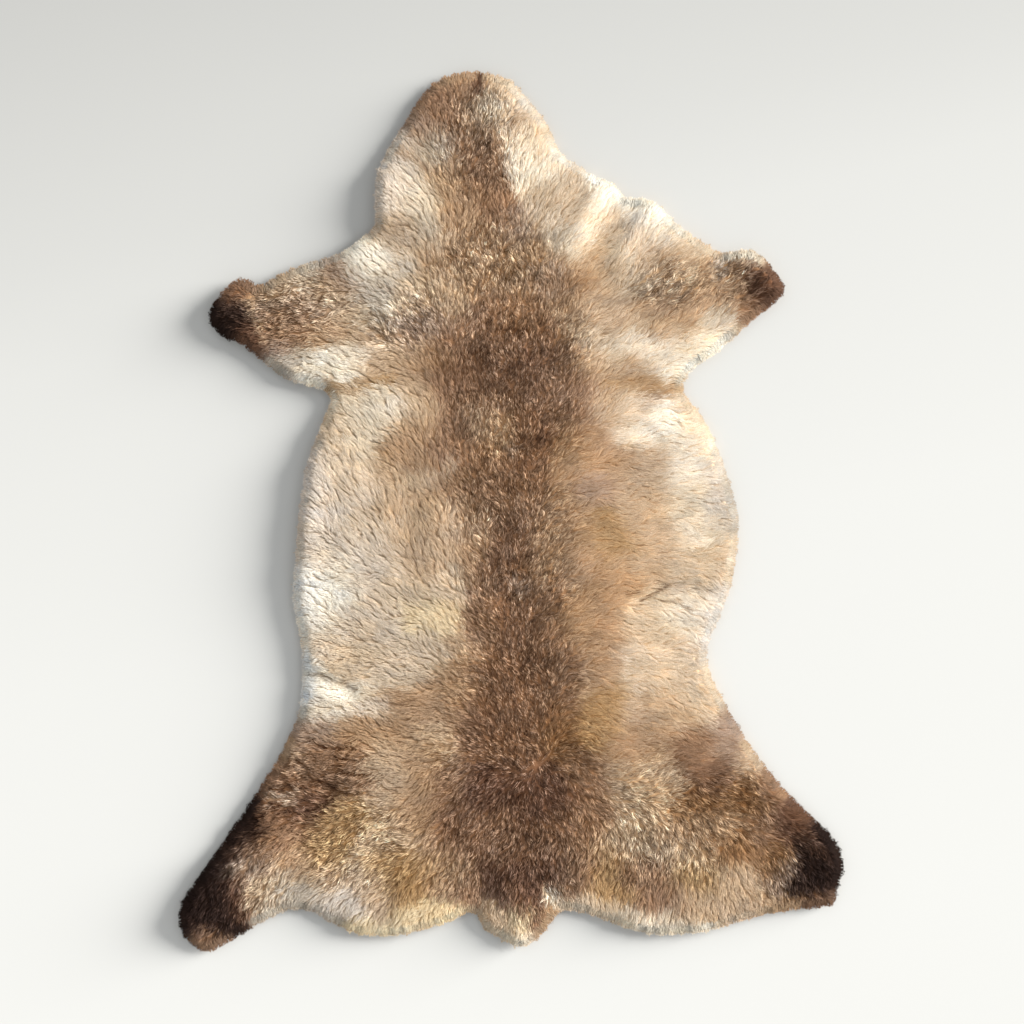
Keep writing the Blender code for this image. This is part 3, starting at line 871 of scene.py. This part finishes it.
# %% [markdown]
# ## The undercoat
#
# Under the visible strands is a mass of wool too dense to see into. It is one closed body: the solid, divided
# finely, drawn in by a few millimetres and roughened. It closes every gap between strands, and it gives the
# strands something to cast small shadows on.

# %% Undercoat body
UNDER_CUTS = 2
UNDER_ROUNDS = 3
UNDER_DEPTH = 3.0 * MM
UNDER_CLEAR = 2.3 * MM
UNDER_ROUGH = ((24 * MM, 1.2 * MM), (5 * MM, 1.6 * MM))
ROUGH_SEED = 3.3
FACES_DOWN = -0.5


def undercoat_mesh():
    """The skin again, with its wool drawn in and its underside on top of the leather."""
    mesh = skin.copy()
    bmesh.ops.subdivide_edges(mesh, edges=mesh.edges, cuts=UNDER_CUTS, use_grid_fill=True)
    mesh.normal_update()
    for _ in range(UNDER_ROUNDS):
        smooth(mesh, mesh.verts, "xyz")
    mesh.normal_update()
    moves = []
    for vertex in mesh.verts:
        x, y, _ = vertex.co
        if vertex.normal.z < FACES_DOWN:
            moves.append(Vector((0, 0, UNDER_CLEAR)))
            continue
        rough = sum(height * noise.noise((x / size, y / size, ROUGH_SEED)) for size, height in UNDER_ROUGH)
        moves.append(vertex.normal * (rough - UNDER_DEPTH))
    for vertex, move in zip(mesh.verts, moves):
        vertex.co += move
    return mesh


under_mesh = undercoat_mesh()
print("undercoat:", len(under_mesh.faces), "triangles")

# %% Colour carried by the points
# Painted shade: the undercoat is coloured as the wool above it, made darker and warmer for the shade deep
# between the strands.
UNDER_PAINTED_SHADE = np.array((0.86, 0.74, 0.61))
UPPER_SIZE = 0.72
UPPER_CORNER = (0.01, 0.01)
LOWER_SIZE = 0.52
LOWER_CORNER = (0.58, 0.01)
FIBRE_DARK = (0.86, 0.84, 0.82)
FIBRE_LIGHT = (1.10, 1.10, 1.10)
FIBRE_DEPTH = 0.3 * MM


def colour_points(data, colours):
    layer = data.color_attributes.new("wool", "FLOAT_COLOR", "POINT")
    filled = np.column_stack([np.clip(colours, 0, 1), np.ones(len(colours))])
    layer.data.foreach_set("color", filled.astype(np.float32).ravel())


def points_of(data):
    flat = np.empty(len(data.vertices) * 3)
    data.vertices.foreach_get("co", flat)
    return flat.reshape(-1, 3)


def lay_out(data, spots):
    """Gives each face corner its spot on the map for baked colour."""
    layer = data.uv_layers.new(name="OFBake")
    layer.uv.foreach_set("vector", spots.astype(np.float32).ravel())


def plan_layout(data):
    """A map for baked colour: the upper side seen from above, and the under side, smaller, beside it."""
    corners = np.empty(len(data.loops), int)
    data.loops.foreach_get("vertex_index", corners)
    is_upper = np.array([face.normal.z > 0 for face in data.polygons for _ in face.vertices])
    plan = (points_of(data)[corners, :2] - low[:2]) / (high - low).max()
    upper, lower = plan * UPPER_SIZE + UPPER_CORNER, plan * LOWER_SIZE + LOWER_CORNER
    lay_out(data, np.where(is_upper[:, None], upper, lower))


def wool_material(name, fibre_scale):
    """Matt wool: the colour carried by the points, with fine lengths of lighter and darker fibre over it."""
    material, tree, shader = new_material(name, roughness=0.9, sheen=0.03, gloss=0.04)
    carried = tree.nodes.new("ShaderNodeAttribute")
    carried.attribute_name = "wool"
    fibre = noise_node(tree, place_on(tree), fibre_scale, detail=3)
    share = ramp_node(tree, fibre, start=0.3, end=0.7)
    shaded = mixed_by(tree, share, (*FIBRE_DARK, 1), (*FIBRE_LIGHT, 1))
    colour = mixed_by(tree, 1.0, carried.outputs["Color"], shaded, "MULTIPLY")
    tree.links.new(colour, shader.inputs["Base Color"])
    bump_node(tree, fibre, FIBRE_DEPTH, shader)
    return material


undercoat = add_object("undercoat", under_mesh, wool_material("undercoat wool", fibre_scale=700))
under_places = points_of(undercoat.data)[:, :2]
colour_points(undercoat.data, wool_tone(under_places) * UNDER_PAINTED_SHADE)
for dense in (undercoat, hide):
    plan_layout(dense.data)
print("undercoat coloured at", len(under_places), "points")

# %% [markdown]
# ## Locks of wool
#
# Fibres of wool hold together in locks. Here each lock is a cell of a jittered lattice, long along the way
# the wool lies and narrow across it. Every strand then asks which lock is nearest in that stretched sense, so
# that the borders between locks come out as the thin, wavy partings that show in real wool.

# %% Lattices of locks
Lattice = namedtuple("Lattice", "pitch length jitter unrest")
COMBED = Lattice(6.6 * MM, 1.55, 0.5, radians(12))
CURLED = Lattice(5.8 * MM, 1.5, 0.45, radians(17))
random = np.random.default_rng(11)
FLOW_UNREST = ((50 * MM, 0.25), (15 * MM, 0.25))


def restless(places, way):
    """The combing, made to wander as wool does."""
    by = sum(amount * soft_noise(places, size, seed=50.5 + k) * 2
             for k, (size, amount) in enumerate(FLOW_UNREST))
    return turned(way, by)


def lattice_of_locks(kind):
    """The middles of the locks in rows and columns, and the way that each lies."""
    rows = int((map_y[-1] - map_y[0]) / (kind.pitch * sin(pi / 3))) + 1
    columns = int((map_x[-1] - map_x[0]) / kind.pitch) + 1
    row, column = np.mgrid[0:rows, 0:columns]
    middles = np.stack([map_x[0] + (column + row % 2 / 2) * kind.pitch,
                        map_y[0] + row * kind.pitch * sin(pi / 3)], 2)
    middles += random.uniform(-1, 1, middles.shape) * kind.jitter * kind.pitch
    flat = middles.reshape(-1, 2)
    way = restless(flat, combing(flat)[0])
    way = turned(way, random.normal(0, kind.unrest, len(way)))
    return middles, way.reshape(middles.shape)


locks = {kind: lattice_of_locks(kind) for kind in (COMBED, CURLED)}
print("locks:", [middles.shape[0] * middles.shape[1] for middles, _ in locks.values()])

# %% Which lock a strand belongs to
NEAR = (-2, -1, 0, 1, 2)


def own_lock(places, kind):
    """For each place: its lock's index, how far it is off the lock's middle line, as a share, and how close
    the border with the next lock is, from 0 on the border to about 1 in the middle."""
    middles, ways = locks[kind]
    rows, columns = middles.shape[:2]
    row = np.round((places[:, 1] - map_y[0]) / (kind.pitch * sin(pi / 3))).astype(int)
    column = np.round((places[:, 0] - map_x[0]) / kind.pitch - row % 2 / 2).astype(int)
    best = np.full(len(places), np.inf)
    second = best.copy()
    index = np.zeros(len(places), int)
    aside = np.zeros(len(places))
    for i in NEAR:
        for j in NEAR:
            r, c = np.clip(row + i, 0, rows - 1), np.clip(column + j, 0, columns - 1)
            apart = (places - middles[r, c]) / kind.pitch
            way = ways[r, c]
            along = (apart * way).sum(1) / kind.length
            across = (apart[:, 1] * way[:, 0] - apart[:, 0] * way[:, 1]) * kind.length
            far = np.hypot(along, across)
            closer = far < best
            second = np.where(closer, best, np.minimum(second, far))
            best = np.where(closer, far, best)
            index = np.where(closer, r * columns + c, index)
            aside = np.where(closer, across / kind.length, aside)
    return index, aside, second - best


print("a strand asks", len(NEAR) ** 2, "locks which of them is nearest")

# %% [markdown]
# ## Roots of the strands
#
# Strands are scattered evenly by a jittered grid in plan, wherever the map says that there is skin. Strands
# near the rim turn towards the way out. The steep side of the rim would stay bald, because little of it shows
# in plan, so a second batch of strands starts from there and leans over the edge.

# %% Strands over the open fleece
STRAND_STEP = 1.53 * MM
SEAM_WANDER = 0.7
SEAM_SIZE = 12 * MM


def scattered():
    """Plan points all over the skin, about a step apart."""
    x = np.arange(low[0], high[0], STRAND_STEP)
    y = np.arange(low[1], high[1], STRAND_STEP * sin(pi / 3))
    across, upward = np.meshgrid(x, y)
    across = across + (np.arange(len(y)) % 2)[:, None] * STRAND_STEP / 2
    places = np.stack([across.ravel(), upward.ravel()], 1)
    places += random.uniform(-0.5, 0.5, places.shape) * STRAND_STEP
    covered = read_map(is_skin.astype(float), places) > 0.5
    return places[covered]


places = scattered()
far, nearest = to_rim(places)
curl = curliness(places)
is_curly = curl > 0.5 + SEAM_WANDER * soft_noise(places, SEAM_SIZE, seed=60.5)
print(len(places), "strands, of which curly:", int(is_curly.sum()))

# %% [markdown]
# ## Creases
#
# Where the skin is folded, the wool opens a little, and painted shade darkens the line. A pattern can't know
# where that is, so the main creases are drawn on the left thigh and on both flanks. Each is its strength and
# a row of points.

# %% Draw the creases
CREASES = (
    (1.3, (-247, -271), (-233, -279), (-220, -284), (-198, -282), (-189, -285)),
    (1.3, (-214, -292), (-198, -298), (-184, -298)),
    (1.3, (-214, -304), (-205, -312), (-198, -316), (-174, -316)),
    (1.3, (-264, -316), (-261, -322)),
    (1.3, (-261, -297), (-247, -306)),
    (1.3, (-244, -316), (-238, -323), (-227, -322), (-220, -329), (-208, -336), (-192, -339), (-177, -336)),
    (1.3, (-261, -328), (-247, -330)),
    (1.3, (-296, -331), (-278, -334)),
    (1.3, (-233, -338), (-225, -344), (-225, -352), (-236, -356), (-245, -359)),
    (1.3, (-305, -347), (-280, -352), (-261, -364)),
    (1.3, (-314, -369), (-300, -364)),
    (1.3, (-314, -388), (-299, -385)),
    (0.7, (-249, -195), (-234, -196), (-224, -202), (-206, -205), (-196, -210), (-191, -214)),
    (0.7, (-169, -224), (-155, -226), (-145, -231), (-131, -227), (-119, -225)),
    (1.1, (157, -106), (167, -103), (174, -98), (181, -94), (190, -88)),
    (1.0, (142, -99), (154, -96)),
    (0.9, (183, -108), (195, -108), (207, -113), (217, -119)),
    (0.9, (145, -112), (152, -113)),
)
CREASE_WIDTH = 1.7 * MM
CREASE_DEPTH = 0.8 * MM
CREASE_PAINTED_SHADE = np.array((0.62, 0.68, 0.72))


def in_crease(places):
    """From 0 beside the creases to a crease's own strength in the middle of it."""
    found = [strength * np.exp(-(to_line(places, points) / CREASE_WIDTH) ** 2)
             for strength, *points in CREASES]
    return np.max(found, axis=0)[:, None]


print(len(CREASES), "creases, the longest with", max(len(points) for _, *points in CREASES), "points")

# %% [markdown]
# ## The shape of a strand
#
# A strand starts in the undercoat, leans the way that its lock lies, and ends at the wool's top. Its tip is
# drawn towards the lock's middle line and sinks where two locks part. Combed and curly wool differ in how far
# each of these goes, so a pair below holds the value for combed wool and then the one for curly wool. All the
# strands are worked out together as arrays, because a loop over them would take minutes.

# %% Lean and reach, eased towards the rim
REACH_GAIN = (1.0, 1.35)
SCATTER = (radians(6), radians(11))


def between(pair, curl):
    """The pair's value where wool is curled by that share. The answer is a column, for rows of vectors."""
    return pair[0] + (pair[1] - pair[0]) * curl[:, None]


REACH_SCATTER = (0.85, 1.12)
SHORTEST = 0.8 * MM
RIM_TURNS_OVER = 13 * MM
RIM_TURNS = 1.3
RIM_SHORTER = 0.5
RIM_POKES = 1.6 * MM
POKE_SCATTER = (0.5, 1)
RIM_LESS_CURLY = 0.7
RIM_SMOOTHER = 0.35


def rimwards(places, far, nearest, curl, kind, index):
    """The way each strand leans and its reach, both eased towards the rim, with the curl that is left."""
    count = len(places)
    reach = combing(places)[1] * random.uniform(*REACH_SCATTER, count) * between(REACH_GAIN, curl)[:, 0]
    near_rim = np.exp(-(far / RIM_TURNS_OVER) ** 2)
    reach *= 1 - RIM_SHORTER * near_rim
    longest = np.maximum(far, 0) + RIM_POKES * random.uniform(*POKE_SCATTER, count)
    reach = np.clip(reach, SHORTEST, longest)
    curl = curl * (1 - RIM_LESS_CURLY * near_rim)
    crisp = curl - RIM_SMOOTHER * near_rim
    way = locks[kind][1].reshape(-1, 2)[index]
    way = unit(way * (1 - near_rim[:, None]) + rim_out[nearest] * near_rim[:, None] * RIM_TURNS)
    way = turned(way, random.normal(0, 1, count) * between(SCATTER, curl)[:, 0])
    return way, reach, curl, crisp


print("at the rim, strands reach", 1 - RIM_SHORTER, "of the way that they would inland")

# %% Shape each strand
Strands = namedtuple("Strands", "root tip bulge side width tone normal shade crisp")
ROOT_DEPTH = (3.0 * MM, 5.5 * MM)
TIP_PULL = (0.12, 0.34)
TIP_DROP = (0.1 * MM, 1.8 * MM)
TIP_SCATTER = (0.2 * MM, 0.5 * MM)
BULGE = (0.6 * MM, 1.1 * MM)
BULGE_SCATTER = (0.2 * MM, 0.35 * MM)
ROUNDED = (0.12, 0.7)
NARROWEST = (0.5 * MM, 0.6 * MM)
WIDEST = (1.2 * MM, 1.15 * MM)
LOCK_EDGE = 0.22
INLAND = 18 * MM
RIM_FLATTENS = 5.0
RIM_FLAT_REACH = 26 * MM


def shaped(places, far, nearest, curl, kind):
    """The strands that belong to one lattice of locks, and how close each is to a parting."""
    count = len(places)
    index, aside, border = own_lock(places, kind)
    way, reach, curl, crisp = rimwards(places, far, nearest, curl, kind, index)
    across = np.stack([-way[:, 1], way[:, 0]], 1)
    flattens = RIM_FLATTENS * np.exp(-(far / RIM_FLAT_REACH) ** 2)[:, None]
    normal = unit(wool_normals(places) + flattens * (0, 0, 1))
    flow = np.column_stack([way, np.zeros(count)])
    flow = unit(flow - normal * (flow * normal).sum(1, keepdims=True))
    top = np.column_stack([places, read_map(top_map, places)])
    root = top - normal * between(ROOT_DEPTH, curl)
    tip = top + flow * reach[:, None]
    tip[:, :2] -= across * (aside * kind.pitch)[:, None] * between(TIP_PULL, curl)
    over = np.column_stack([tip[:, :2], read_map(top_map, tip[:, :2])])
    tip = np.where(((far > INLAND) | (over[:, 2] < tip[:, 2]))[:, None], over, tip)
    tip -= normal * between(TIP_DROP, curl) * np.exp(-(border / LOCK_EDGE) ** 2)[:, None]
    tip += random.normal(0, 1, (count, 3)) * between(TIP_SCATTER, curl)
    tip -= normal * in_crease(tip[:, :2]) * CREASE_DEPTH
    bulge = normal * between(BULGE, curl) + random.normal(0, 1, (count, 3)) * between(BULGE_SCATTER, curl)
    side = np.cross(normal, flow)
    round_normal = unit(normal + side * aside[:, None] * 2 * between(ROUNDED, curl))
    width = random.uniform(between(NARROWEST, curl)[:, 0], between(WIDEST, curl)[:, 0])
    return Strands(root, tip, bulge, side, width, index, round_normal, None, crisp), border


print("tips are pulled to their lock's middle line by", TIP_PULL[0], "and", TIP_PULL[1])

# %% [markdown]
# ## The colour of a strand
#
# A strand takes half its colour from its lock and half from a place nearby, so that tones run into each other
# as they do in a fleece. Locks and strands are a little lighter or darker by chance. A root is darker than a
# tip, and a strand is darker and warmer beside a parting or in a crease, because light has to come there
# through wool.

# %% Colour each strand
CHANCE = (-1.7, 1.7)
LOCK_SPREAD = (0.05, 0.19)
STRAND_SPREAD = (0.09, 0.31)
STRAYS = (5 * MM, 8 * MM)
SPECKLE = (0.0, 0.85)
SPECKLE_SIZE = 6 * MM
PALER = np.array((0.90, 1.0, 1.06))
LIVELY = (1.45, 1.1)


def mixed_tone(lock, curl, places, kind):
    """Each strand's own tone, from its lock's, its neighbourhood's and chance."""
    middles = locks[kind][0].reshape(-1, 2)
    used, which = np.unique(lock, return_inverse=True)
    lock_tone = wool_tone(middles[used])[which]
    lock_light = random.uniform(*CHANCE, len(used))[which][:, None] * between(LOCK_SPREAD, curl)
    strand_light = random.uniform(*CHANCE, (len(places), 1)) * between(STRAND_SPREAD, curl)
    strayed = places + random.normal(0, 1, places.shape) * between(STRAYS, curl)
    speckle = between(SPECKLE, curl) * soft_noise(places, SPECKLE_SIZE, seed=95.5)[:, None]
    lively = LIVELY[0] - LIVELY[1] * (lock_tone @ EYE)[:, None]
    lighter = ((lock_light + strand_light) * lively + speckle) * PALER
    return np.sqrt(lock_tone * wool_tone(strayed)) * np.exp(lighter)


print("a curly strand takes half its tone from about", round(STRAYS[1] / MM), "mm away")

# %% Painted shade in partings and creases, and at roots
PARTING_SHADE_TINTS = np.array(((0.32, 0.54, 0.76), (0.58, 0.68, 0.77)))
PARTING_WIDTH = (0.08, 0.22)
PARTING_SHARE = (0.26, 0.95)
PARTING_PATCH = 14 * MM
PARTING_MEAN = 0.45
PARTING_VARIES = 2.2
WAIST = 0.75
WAIST_SHADE = 0.6
# Painted shade and light along each strand: roots darker and warmer for the shade deep in the wool, tips
# lighter, partly for light on them and partly as their own paler colour.
ROOT_SHADE = (0.91, 0.60)
ROOT_SHADE_WARMTH = np.array((1.12, 0.97, 0.82))
TIP_SHADE = (0.99, 1.20)
TIP_FADE = np.array((0.98, 1.005, 1.03))


def painted_parting_shade(border, curl, places):
    """Painted shade beside the partings, which shows in some patches more than in others."""
    patches = PARTING_MEAN + PARTING_VARIES * soft_noise(places, PARTING_PATCH, seed=70.5)
    closeness = np.exp(-(border[:, None] / between(PARTING_WIDTH, curl)) ** 2)
    share = closeness * np.clip(patches, 0, 1)[:, None] * between(PARTING_SHARE, curl)
    return 1 - share * between(PARTING_SHADE_TINTS, curl)


def painted_crease_shade(strands):
    """Painted shade in the creases: most where one meets a strand's tip and less at its waist."""
    waist = strands.tip * WAIST + strands.root * (1 - WAIST)
    creased = np.maximum(in_crease(strands.tip[:, :2]), WAIST_SHADE * in_crease(waist[:, :2]))
    return 1 - creased * CREASE_PAINTED_SHADE


def toned(strands, border, places, kind):
    """The same strands with their tone in place of the lock's index, and the painted shades of roots and
    tips.
    """
    curl = np.maximum(strands.crisp, 0)
    tone = mixed_tone(strands.tone, curl, places, kind)
    tone *= painted_parting_shade(border, curl, places)
    tone *= painted_crease_shade(strands)
    fade = 1 - curl[:, None] + TIP_FADE * curl[:, None]
    shade = np.stack([between(ROOT_SHADE, curl) * ROOT_SHADE_WARMTH, between(TIP_SHADE, curl) * fade], 1)
    return strands._replace(tone=tone, shade=shade)


batches = []
for kind, members in ((COMBED, ~is_curly), (CURLED, is_curly)):
    batch, border = shaped(places[members], far[members], nearest[members], curl[members], kind)
    batches.append(toned(batch, border, places[members], kind))
    print("shaped and coloured", int(members.sum()))

# %% Tufts, and the rounded side of the skin
WIDEST_SHARE = 0.36
ROUNDING = 17 * MM
OVERHANG = 6 * MM
TUFT_PITCH = 7 * MM
TUFT_OUT = 0.6 * MM
TUFT_ROUND = 0.6


def tufts(along):
    """For places along the rim: how far the wool stands out there, and how far a tuft's middle is."""
    tuft = along * RIM_STEP / TUFT_PITCH
    wave = np.array([noise.noise((t, 0.5, 80.5)) for t in tuft])
    in_tuft = (tuft + wave) % 1 - 0.5
    return TUFT_OUT * (wave + TUFT_ROUND * np.cos(2 * pi * in_tuft)), in_tuft * TUFT_PITCH


def side_inset(height):
    """How far inside the rim the skin's rounded side is, at a share of its height."""
    above = np.clip((height - WIDEST_SHARE) / (1 - WIDEST_SHARE), 0, 1)
    rounded = ROUNDING * (1 - np.sqrt(1 - above ** 2))
    return np.where(height > WIDEST_SHARE, rounded, OVERHANG * (WIDEST_SHARE - height) / WIDEST_SHARE)


print("half way up, the side lies", (side_inset(np.array(0.5)) / MM).round(1), "mm inside the rim")

# %% Strands over the steep side of the rim
SIDE_STEP = 0.13 * MM
SIDE_HEIGHTS = (0.03, 0.85)
LIFT_FROM = 8 * MM
TIP_INSET = 0.9
TIP_OUT = (-1.6, 0.4)
TIP_CLEAR = 0.6 * MM
TIP_OVER = 0.3 * MM
LOWEST_TIP = 0.05
TUFT_PULL = 0.22
SIDE_ROOT = 7 * MM
ROOT_SHARE = 0.8
LOWEST_ROOT = 0.1
HIGHEST_ROOT = 0.75
RIM_NORMAL_UP = 0.995
SIDE_BULGE = 1.2 * MM
SIDE_WIDTHS = (0.9, 1.7)
SIDE_SPREAD = 0.1
# Painted shade: rim strands are darker at their roots.
SIDE_SHADES = np.array((0.72, 1.04))
SIDE_CRISP = 0.2
TONE_FROM = 4 * MM
# Painted shade: strands on the rim's side are coloured a little darker and greyer.
RIM_PAINTED_SHADE = np.array((0.90, 0.89, 0.87))


def rim_strands():
    """Strands that start under the rounded side of the rim and lean out over the edge of the leather."""
    count = int(len(rim_line) * RIM_STEP / SIDE_STEP)
    along = np.sort(random.uniform(0, len(rim_line), count))
    i = along.astype(int)
    base, out, tangent = rim_line[i], rim_out[i], rim_along[i]
    stands, off_tuft = tufts(along)
    height = random.uniform(*SIDE_HEIGHTS, count)
    inset = side_inset(height)
    lift = read_map(leather_map, base - out * LIFT_FROM)
    pile = read_map(top_map, base - out * ROUNDING) - lift - HIDE_THICKNESS
    scatter = random.uniform(*TIP_OUT, count) * MM
    tip_place = base + out * (stands - inset * TIP_INSET + scatter)[:, None]
    tip_place -= tangent * (off_tuft * TUFT_PULL)[:, None]
    tip_z = lift + TIP_CLEAR + np.maximum(height, LOWEST_TIP) * pile
    tip_z = np.minimum(tip_z, read_map(top_map, tip_place) + TIP_OVER)
    root_place = base - out * (inset + SIDE_ROOT)[:, None]
    root_share = np.minimum(height * ROOT_SHARE + LOWEST_ROOT, HIGHEST_ROOT)
    root_z = lift + HIDE_THICKNESS + root_share * pile
    root = np.column_stack([root_place, root_z])
    tip = np.column_stack([tip_place, tip_z])
    up = np.full(count, RIM_NORMAL_UP)
    normal = unit(np.column_stack([out * np.sqrt(1 - up ** 2)[:, None], up]))
    bulge = np.full((count, 1), SIDE_BULGE) * (0, 0, 1)
    side = np.column_stack([tangent, np.zeros(count)])
    width = random.uniform(*SIDE_WIDTHS, count) * MM
    lighter = np.exp(random.normal(0, SIDE_SPREAD, count))[:, None]
    tone = wool_tone(base - out * TONE_FROM) * lighter * RIM_PAINTED_SHADE
    shade = np.ones((count, 2, 3)) * SIDE_SHADES[:, None]
    return Strands(root, tip, bulge, side, width, tone, normal, shade, np.full(count, SIDE_CRISP))


batches.append(rim_strands())
print("rim:", len(batches[-1].root), "strands")

# %% [markdown]
# ## From strands to meshes
#
# A strand is the cheapest shape that still catches light like a fibre: a ribbon of three triangles with a
# pointed tip, about a millimetre wide. Its points carry their own normals, turned most of the way to the
# fleece's, so a field of flat ribbons shades like soft wool and not like cut paper. The strands are joined in
# a few large meshes, one for each part of the skin.

# %% Strand geometry
TWIST = (radians(10), radians(28))
SOFTNESS = (0.88, 0.60)
EDGE_ROUND = (0.20, 0.50)
STATIONS = ((0.0, 0.85), (0.6, 1.0), (1.0, 0.0))
TRIANGLES = np.array(((0, 1, 3), (0, 3, 2), (2, 3, 4)))
SHADE_BEND = 1.2
FLOOR_CLEAR = 0.15 * MM
strands = Strands(*(np.concatenate(field) for field in zip(*batches)))


def strand_arrays(strands):
    """Points, normals and colours of the strands, five for each, root to tip."""
    axis = unit(strands.tip - strands.root)
    soft_share = between(SOFTNESS, strands.crisp)
    edge_round = between(EDGE_ROUND, strands.crisp)
    twist = random.normal(0, 1, (len(axis), 1)) * between(TWIST, strands.crisp)
    side = strands.side * np.cos(twist) + np.cross(axis, strands.side) * np.sin(twist)
    facing = unit(np.cross(side, axis))
    flip = np.where((facing * strands.normal).sum(1, keepdims=True) < 0, -1, 1)
    side, facing = side * flip, facing * flip
    soft = unit(facing * (1 - soft_share) + strands.normal * soft_share)
    points, normals, heights = [], [], []
    for t, share in STATIONS:
        place = strands.root + (strands.tip - strands.root) * t + strands.bulge * (4 * t * (1 - t))
        half = side * (strands.width * share / 2)[:, None]
        if share:
            points += [place - half, place + half]
            normals += [unit(soft - edge_round * side), unit(soft + edge_round * side)]
            heights += [t, t]
        else:
            points.append(place)
            normals.append(soft)
            heights.append(t)
    rise = np.array(heights)[None, :, None] ** SHADE_BEND
    start, end = strands.shade[:, :1], strands.shade[:, 1:]
    colours = strands.tone[:, None, :] * (start + (end - start) * rise)
    return np.stack(points, 1), np.stack(normals, 1), colours


points, normals, colours = strand_arrays(strands)
points[..., 2] = np.maximum(points[..., 2], FLOOR_CLEAR)
print(len(points), "strands,", len(points) * len(TRIANGLES), "triangles")

# %% Build one mesh of strands
BAKE_CORNERS = np.array(((0.1, 0.1), (0.9, 0.1), (0.1, 0.55), (0.9, 0.55), (0.5, 0.9)))


def strand_mesh(name, members, material):
    """One object of all the strands in members, an array of their numbers."""
    count = len(members)
    data = bpy.data.meshes.new(name)
    each = points.shape[1]
    faces = (np.arange(count)[:, None, None] * each + TRIANGLES).reshape(-1, 3)
    data.vertices.add(count * each)
    data.vertices.foreach_set("co", points[members].astype(np.float32).ravel())
    data.loops.add(faces.size)
    data.loops.foreach_set("vertex_index", faces.astype(np.int32).ravel())
    data.polygons.add(len(faces))
    data.polygons.foreach_set("loop_start", np.arange(0, faces.size, 3, dtype=np.int32))
    data.update(calc_edges=True)
    data.polygons.foreach_set("use_smooth", np.ones(len(faces), bool))
    colour_points(data, colours[members].reshape(-1, 3))
    columns = int(np.ceil(np.sqrt(count)))
    cell = np.stack([np.arange(count) % columns, np.arange(count) // columns], 1)[:, None, :]
    spots = ((cell + BAKE_CORNERS) / columns).reshape(-1, 2)
    lay_out(data, spots[faces.ravel()])
    data.materials.append(material)
    data.normals_split_custom_set_from_vertices(normals[members].reshape(-1, 3).tolist())
    return placed(name, data)


REGIONS = ("wool_neck_and_forelegs", "wool_shoulders", "wool_back", "wool_loin", "wool_rump_and_hind_legs")
strand_material = wool_material("wool", fibre_scale=900)
order = np.argsort(-strands.root[:, 1], kind="stable")
fleece = []
for name, members in zip(REGIONS, np.array_split(order, len(REGIONS))):
    fleece.append(strand_mesh(name, members, strand_material))
    print(name, len(members) * len(TRIANGLES), "triangles")

# %% [markdown]
# ## Hand the pieces to the frame
#
# Every piece rides on the skin's only body. Together they stand for the plain solid, which is hidden.

for piece in (hide, undercoat, *fleece):
    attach(piece, "root")
    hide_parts("sheepskin")
print("pieces:", len(fleece) + 2)

# %% Finish
bpy.context.view_layer.update()
